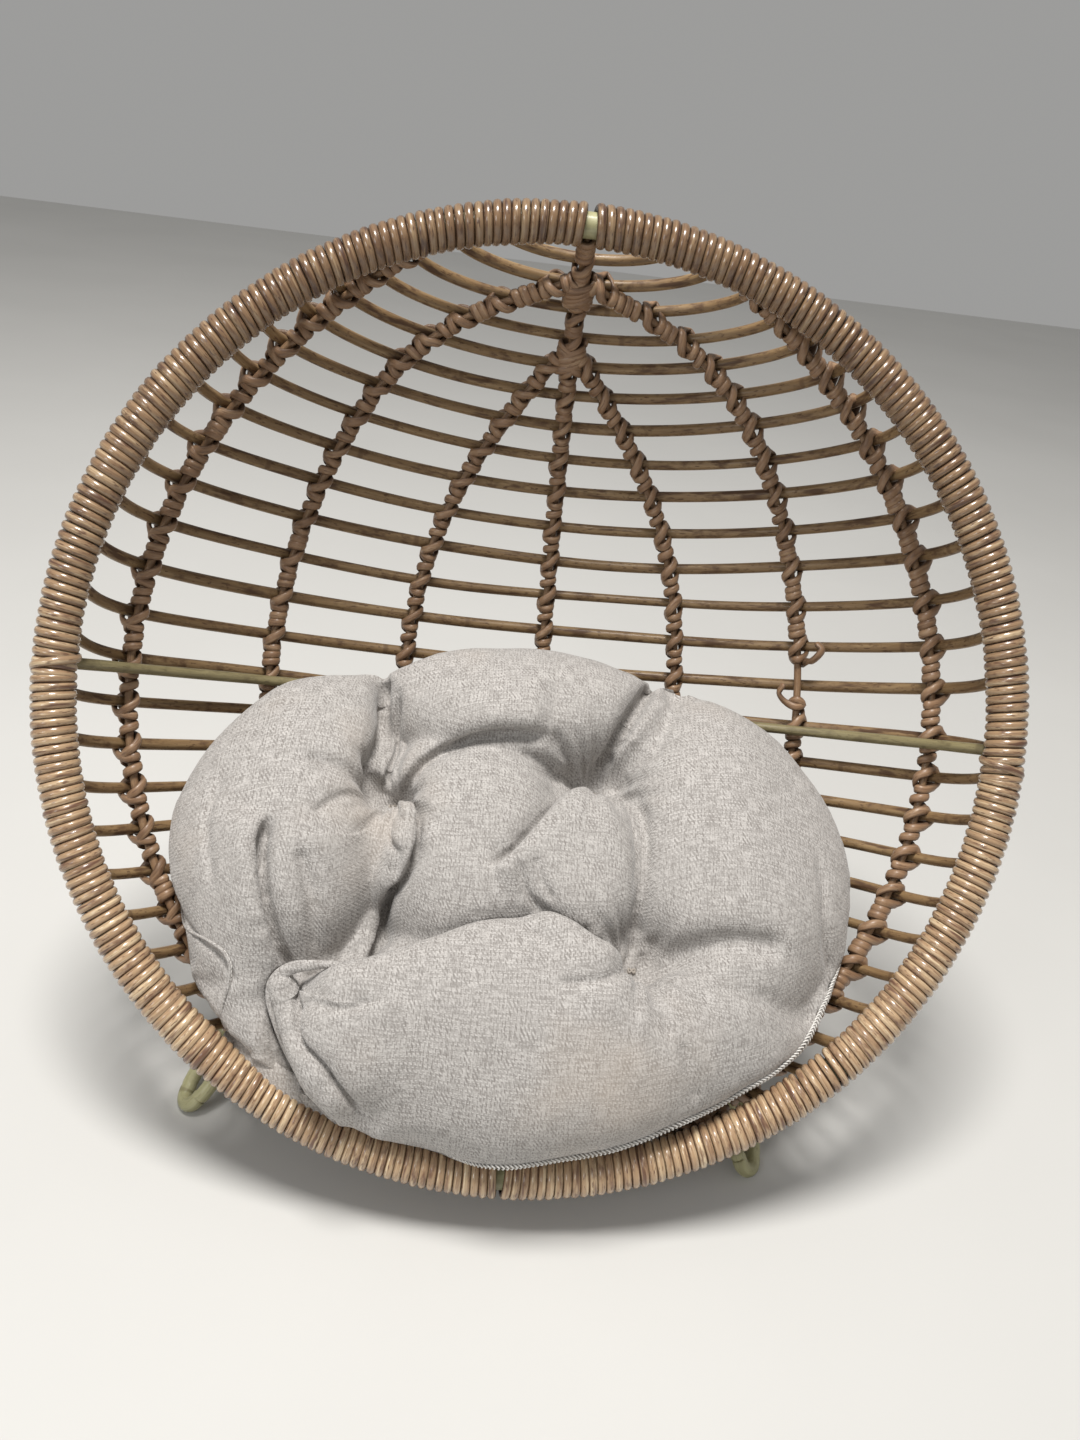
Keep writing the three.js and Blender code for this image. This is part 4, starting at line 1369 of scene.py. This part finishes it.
def press_wrinkles(made):
    points = mesh_points(made.data)
    normals = np.zeros(len(points) * 3, np.float32)
    made.data.vertices.foreach_get("normal", normals)
    normals = normals.reshape(-1, 3).astype(float)
    local = cushion_places(points)
    upper = smooth((local[:, 2] + UPPER_FADE) / (2 * UPPER_FADE))
    push = sum(lumps(points, size, seed) * high for size, seed, high in STUFFING)
    push += PRESS_AGAIN * upper * pressed_folds(local[:, 0], local[:, 1], PRESS_NARROW)
    for number, (x, y) in TUFTS.items():
        dx, dy = local[:, 0] - x, local[:, 1] - y
        away, angle = np.hypot(dx, dy), np.arctan2(dy, dx)
        wave = np.sin(angle * SPOKES + 2.2 * np.sin(angle * 2 + number) + number)
        fade = np.exp(-((away - SPOKE_PEAK) / SPOKE_REACH) ** 2) * smooth(away / SPOKE_START)
        push += wave * fade * upper
    set_points(made.data, points + normals * push[:, None] * MM)
    placed = to_room(inside_bowl(to_bowl(mesh_points(made.data))))
    set_points(made.data, placed)


press_wrinkles(cushion)
cushion.data.shade_smooth()
print("wrinkles round", len(TUFTS), "ties")

# %% [markdown]
# ## Heathered cotton
# The cover is a plain twill of two yarns, one grey and one beige, so up close it is a fine
# diagonal of salt and pepper. The remeshed cloth has no UVs, so the weave is drawn in space from
# three sides and blended by the way the surface faces. It has its own group, used for the cover
# and again for the sewing thread.

# %% The heather twill group
heather, r, given, out = new_group("heather_twill", {
    "Light": (0.6, 0.55, 0.5, 1.0), "Dark": (0.3, 0.28, 0.25, 1.0), "Wear": (0.6, 0.5, 0.4, 1.0),
    "Contrast": 0.6, "Wear Amount": 0.3,
}, {"Color": "Color", "Roughness": "Float", "Height": "Float"})
TWILL_PER_METRE = 600.0
TWILL_SLOPE = 0.75
coordinates = r.node("TexCoord").outputs["Object"]
x, y, z = r.node("SeparateXYZ", Vector=coordinates).outputs
nx, ny, nz = (r.math("POWER", r.math("ABSOLUTE", part), 4.0)
              for part in r.node("SeparateXYZ", Vector=r.node("NewGeometry").outputs["Normal"]).outputs)
whole = r.math("ADD", r.math("ADD", nx, ny), r.math("ADD", nz, 0.0001))
yarn, shade = None, None
for first, second, facing_share, shift in ((y, z, nx, 1.0), (x, z, ny, 2.0), (x, y, nz, 3.0)):
    share = r.math("DIVIDE", facing_share, whole)
    flat = r.node("CombineXYZ", X=first, Y=second, Z=shift).outputs[0]
    bent = r.math("MULTIPLY", r.noise(r.scaled(flat, (60, 60, 1)), 2.0), 1.4)
    diagonal = r.math("MULTIPLY", r.math("ADD", first, r.math("MULTIPLY", second, TWILL_SLOPE)),
                      TWILL_PER_METRE * FULL_TURN / math.hypot(1, TWILL_SLOPE))
    line = r.math("SINE", r.math("ADD", diagonal, bent))
    warp = r.noise(r.scaled(flat, (110, 1350, 1)), 2.0, 0.6)
    weft = r.noise(r.scaled(flat, (1350, 110, 1)), 2.0, 0.6)
    over = r.ramp(line, -0.5, 0.5)
    heathered = r.math("ADD", r.math("MULTIPLY", warp, over),
                       r.math("MULTIPLY", weft, r.math("SUBTRACT", 1.0, over)))
    part_line, part_shade = r.math("MULTIPLY", line, share), r.math("MULTIPLY", heathered, share)
    yarn = part_line if yarn is None else r.math("ADD", yarn, part_line)
    shade = part_shade if shade is None else r.math("ADD", shade, part_shade)
grain = r.ramp(shade, 0.38, 0.62)
tone = r.math("ADD", r.math("MULTIPLY", r.math("SUBTRACT", grain, 0.5), given["Contrast"]), 0.5)
tone = r.math("ADD", tone, r.math("MULTIPLY", yarn, r.math("MULTIPLY", given["Contrast"], 0.12)))
cloth_colour = r.mix(tone, given["Dark"], given["Light"])
worn = r.ramp(r.noise(r.scaled(coordinates, (9, 9, 9)), 3.0, 0.55), 0.5, 0.75)
r.feed(out["Color"], r.mix(r.math("MULTIPLY", worn, given["Wear Amount"]), cloth_colour, given["Wear"]))
r.feed(out["Roughness"], r.math("ADD", 0.86, r.math("MULTIPLY", grain, 0.1)))
r.feed(out["Height"], r.math("ADD", r.math("MULTIPLY", yarn, 0.5), grain))
print("heather_twill:", len(heather.nodes), "nodes")

# %% Cover and thread finishes
WEAVE_RELIEF = 0.25 * MM


def cloth_finish(name, light, dark, wear, contrast, wear_amount, sheen=0.25):
    material, r, shader = new_material(name)
    group = r.node("Group", {"node_tree": heather})
    for label, value in {"Light": light, "Dark": dark, "Wear": wear,
                         "Contrast": contrast, "Wear Amount": wear_amount}.items():
        group.inputs[label].default_value = value
    relief = r.node("Bump", Height=group.outputs["Height"], Strength=0.5, Distance=WEAVE_RELIEF)
    r.feed(shader["Base Color"], group.outputs["Color"])
    r.feed(shader["Roughness"], group.outputs["Roughness"])
    r.feed(shader["Normal"], relief.outputs[0])
    shader["Sheen Weight"].default_value = sheen
    shader["Sheen Roughness"].default_value = 0.5
    shader["Specular IOR Level"].default_value = 0.2
    return material


COVER_FINISH = cloth_finish("heathered_cotton", srgb(192, 188, 184), srgb(132, 127, 123),
                            srgb(182, 168, 154), 0.8, 0.4)
THREAD_FINISH = cloth_finish("white_overlock_thread", srgb(244, 242, 238), srgb(206, 202, 196),
                             srgb(214, 205, 190), 0.5, 0.2)
TWINE_FINISH = cloth_finish("grey_tufting_twine", srgb(186, 178, 168), srgb(140, 132, 124),
                            srgb(160, 148, 136), 0.6, 0.2)
cushion.data.materials.clear()
cushion.data.materials.append(COVER_FINISH)
cushion.name = "cushion_cloth"
settle(cushion, "cushion", ["cushion_cover", "cushion_filling"])
print("cushion dressed in", COVER_FINISH.name)

# %% [markdown]
# ## Sewing
# The two round panels are joined at the edge by an overlocked seam: a narrow lip with white thread
# looped over it. Three ties of grey twine pull the cushion in. Both are laid on the finished cloth
# by dropping points onto its surface, so they follow every fold.

# %% Finding the cloth's surface
cloth_tree = BVHTree.FromPolygons(
    [tuple(p) for p in mesh_points(cushion.data)], [tuple(f.vertices) for f in cushion.data.polygons])


def drop_on_cloth(across, along, height=90):
    """Where a needle dropped square to the cushion first meets it, and which way is out there."""
    start = to_room(cushion_to_bowl(np.array([across, along, height]) * MM))
    down = -CUSHION_AXES[2] @ BOWL_AXES
    place, normal, _, _ = cloth_tree.ray_cast(Vector(start), Vector(down))
    if place is None:
        place, normal, _, _ = cloth_tree.find_nearest(Vector(start + down * (height - 10) * MM))
    return np.array(place), np.array(normal)


def nearest_cloth(point):
    place, normal, _, _ = cloth_tree.find_nearest(Vector(point))
    return np.array(place), np.array(normal)


print("a needle in the middle lands at", drop_on_cloth(0, 0)[0].round(3))

# %% The folded end of the cover
# The front edge doubles back on itself at the left and stands up as a loop of doubled cloth:
# across, along and height in millimetres, with its width
FOLD_BAND = np.array([
    (-84, -58, 39, 3), (-97, -59, 37, 5), (-108, -61, 34, 6.5), (-115, -67, 30, 7),
    (-115.5, -75, 25, 7), (-111, -85, 21, 7.5), (-105, -95, 17, 8.5), (-97, -105, 14, 10),
    (-88, -114, 10, 12), (-80, -122, 5, 12), (-75, -127, 0, 9),
])
# the slack hem beside it, squeezed flat between the cushion and the rim
HEM_FLAP = np.array([
    (-140, -92, 2, 8), (-131, -100, 5, 13), (-118, -108, 6, 16), (-102, -115, 5, 17),
    (-86, -121, 2, 15), (-72, -127, -2, 9),
])
BAND_THICKNESS = 3.2 * MM
band_line = smooth_through(FOLD_BAND, 8)
band_places = cushion_to_bowl(band_line[:, :3] * MM)
band = Bundle()
band.add(inside_bowl(band_places), np.tile(CUSHION_AXES[2] + [0, -0.35, 0], (len(band_line), 1)),
         band_line[:, 3] * MM, BAND_THICKNESS, sides=14)
hem_line = smooth_through(HEM_FLAP, 8)
band.add(inside_bowl(cushion_to_bowl(hem_line[:, :3] * MM)),
         np.tile(CUSHION_AXES[2] + [0, -0.5, 0], (len(hem_line), 1)),
         hem_line[:, 3] * MM, BAND_THICKNESS, sides=14)
band.piece("cushion_fold_band", COVER_FINISH, body="cushion", slot="cover_fabric")
print("fold band", round(run_length(band_places)[-1], 3), "m long")

# %% Overlocked edge
LIP_WIDTH, LIP_THICKNESS, LIP_OFF_CLOTH = 1.7 * MM, 1.6 * MM, 0.6 * MM
STITCH_PITCH, STITCH_WIDTH, STITCH_STEPS = 2.1 * MM, 0.8 * MM, 8
EDGE_STEPS, EDGE_OUTSIDE = 420, 4 * MM
LINE_SMOOTHING, OUT_SMOOTHING = 6, 8
ROLLED_AT, ROLLED_ARC, ROLLED_IN = math.radians(203), math.radians(9), 24 * MM
# the seam lies under the bulge of the edge, and turns up into sight along the front
SEAM_HIDDEN = -9 * MM
SEAM_SHOWS, SEAM_TURNS_IN = math.radians(258), math.radians(14)
RIPPLE, RIPPLE_SPACING = 4.5 * MM, 0.085


def seam_shows(turn):
    """How far the seam is turned up into sight: along the front right only."""
    return smooth((turn - SEAM_SHOWS) / SEAM_TURNS_IN) * smooth((FULL_TURN - turn) / SEAM_TURNS_IN / 2)


def edge_line():
    """The line of the seam on the cloth, with the way out of the cloth."""
    turn = np.linspace(0, FULL_TURN, EDGE_STEPS, endpoint=False)
    rolled = np.exp(-((turn - ROLLED_AT) / ROLLED_ARC) ** 2)
    reach = outline_reach(turn) + EDGE_OUTSIDE - rolled * ROLLED_IN
    shown = seam_shows(turn)
    level = SEAM_HIDDEN + (EDGE_LEVEL - SEAM_HIDDEN) * np.maximum(shown, np.minimum(rolled * 1.5, 1))
    dice = np.random.default_rng(610)
    level = level + wander(dice, FULL_TURN, RIPPLE_SPACING, RIPPLE)(turn) * shown
    wanted = np.stack([reach * np.cos(turn), reach * np.sin(turn), level + rolled * ROLLED_IN], -1)
    places = [nearest_cloth(p) for p in to_room(inside_bowl(cushion_to_bowl(wanted)))]
    line = np.array([place for place, _ in places])
    for _ in range(LINE_SMOOTHING):
        line = (np.roll(line, 1, 0) + 2 * line + np.roll(line, -1, 0)) / 4
    outward = np.array([nearest_cloth(p)[1] for p in line])
    for _ in range(OUT_SMOOTHING):
        outward = unit(np.roll(outward, 1, 0) + 2 * outward + np.roll(outward, -1, 0))
    return to_bowl(line), outward @ BOWL_AXES.T


edge, edge_out = edge_line()
seam = Bundle()
seam.add(inside_bowl(edge + edge_out * LIP_OFF_CLOTH),
         np.cross(edge_out, unit(np.gradient(edge, axis=0))),
         LIP_WIDTH, LIP_THICKNESS, sides=8, closed=True)
seam.piece("seam_lip", COVER_FINISH, body="cushion", slot="cover_fabric")
seam_length = run_length(np.vstack([edge, edge[:1]]))
print("seam is", round(seam_length[-1], 2), "m round")

# %% Overlock thread
def overlock(line, outward, length, dice):
    """White thread looped over the lip: over it, down its face, and on to the next stitch."""
    stitches = int(length[-1] / STITCH_PITCH)
    stitch = np.arange(stitches * STITCH_STEPS) / STITCH_STEPS
    run = stitch * STITCH_PITCH
    closed_line = np.vstack([line, line[:1]])
    closed_out = np.vstack([outward, outward[:1]])
    place = np.stack([np.interp(run, length, closed_line[:, k]) for k in range(3)], -1)
    out = unit(np.stack([np.interp(run, length, closed_out[:, k]) for k in range(3)], -1))
    along = unit(np.gradient(place, axis=0))
    up = unit(np.cross(out, along))
    phase = stitch * FULL_TURN
    skip = 0.35 * STITCH_PITCH * np.sin(phase * 2)
    shown = seam_shows(run / length[-1] * FULL_TURN)
    slack = (0.35 + 1.2 * shown) * (1 + wander(dice, run[-1], 0.012, 0.35)(run))
    path = (place + up * (MM * slack * np.cos(phase))[:, None]
            + out * (0.1 + 0.8 * shown + 0.7 * slack * np.sin(phase))[:, None] * MM
            + along * skip[:, None])
    return path, out


path, out_direction = overlock(edge, edge_out, seam_length, np.random.default_rng(620))
thread = Bundle()
thread.add(inside_bowl(path), out_direction, STITCH_WIDTH, sides=6)
thread.piece("seam_overlock", THREAD_FINISH, body="cushion", slot="cover_fabric")
print("overlock thread", round(run_length(path)[-1], 2), "m")

# %% Tufting ties
TWINE_WIDTH = 1.0 * MM
TIE_TURNS, TIE_STEPS, TIE_SWING = 2.2, 90, 1.7 * MM


def tie_tuft(number, across, along):
    dice = np.random.default_rng(600 + number)
    place, normal = drop_on_cloth(across, along)
    middle, out = to_bowl(place), CUSHION_AXES[2]
    side = CUSHION_AXES[0]
    forward = np.cross(out, side)
    turn = np.linspace(0, TIE_TURNS * FULL_TURN, TIE_STEPS)
    swing = TIE_SWING * (1 + 0.2 * np.sin(turn * 0.7))
    knot = (middle + side * (swing * np.cos(turn))[:, None]
            + forward * (1.0 * MM * np.sin(2 * turn))[:, None]
            + out * (0.5 * MM + 0.5 * MM * np.sin(turn * 1.5))[:, None])
    bundle = Bundle()
    bundle.add(knot, np.tile(out, (len(knot), 1)), TWINE_WIDTH, sides=8, start=dice.uniform(0, 9))
    bundle.piece(f"tuft_knot_{number}", TWINE_FINISH, body="cushion", slot="tie_twine",
                 replaces=[f"tuft_tie_{number}"])


for number, (across, along) in TUFTS.items():
    tie_tuft(number, across, along)
print(len(TUFTS), "ties")
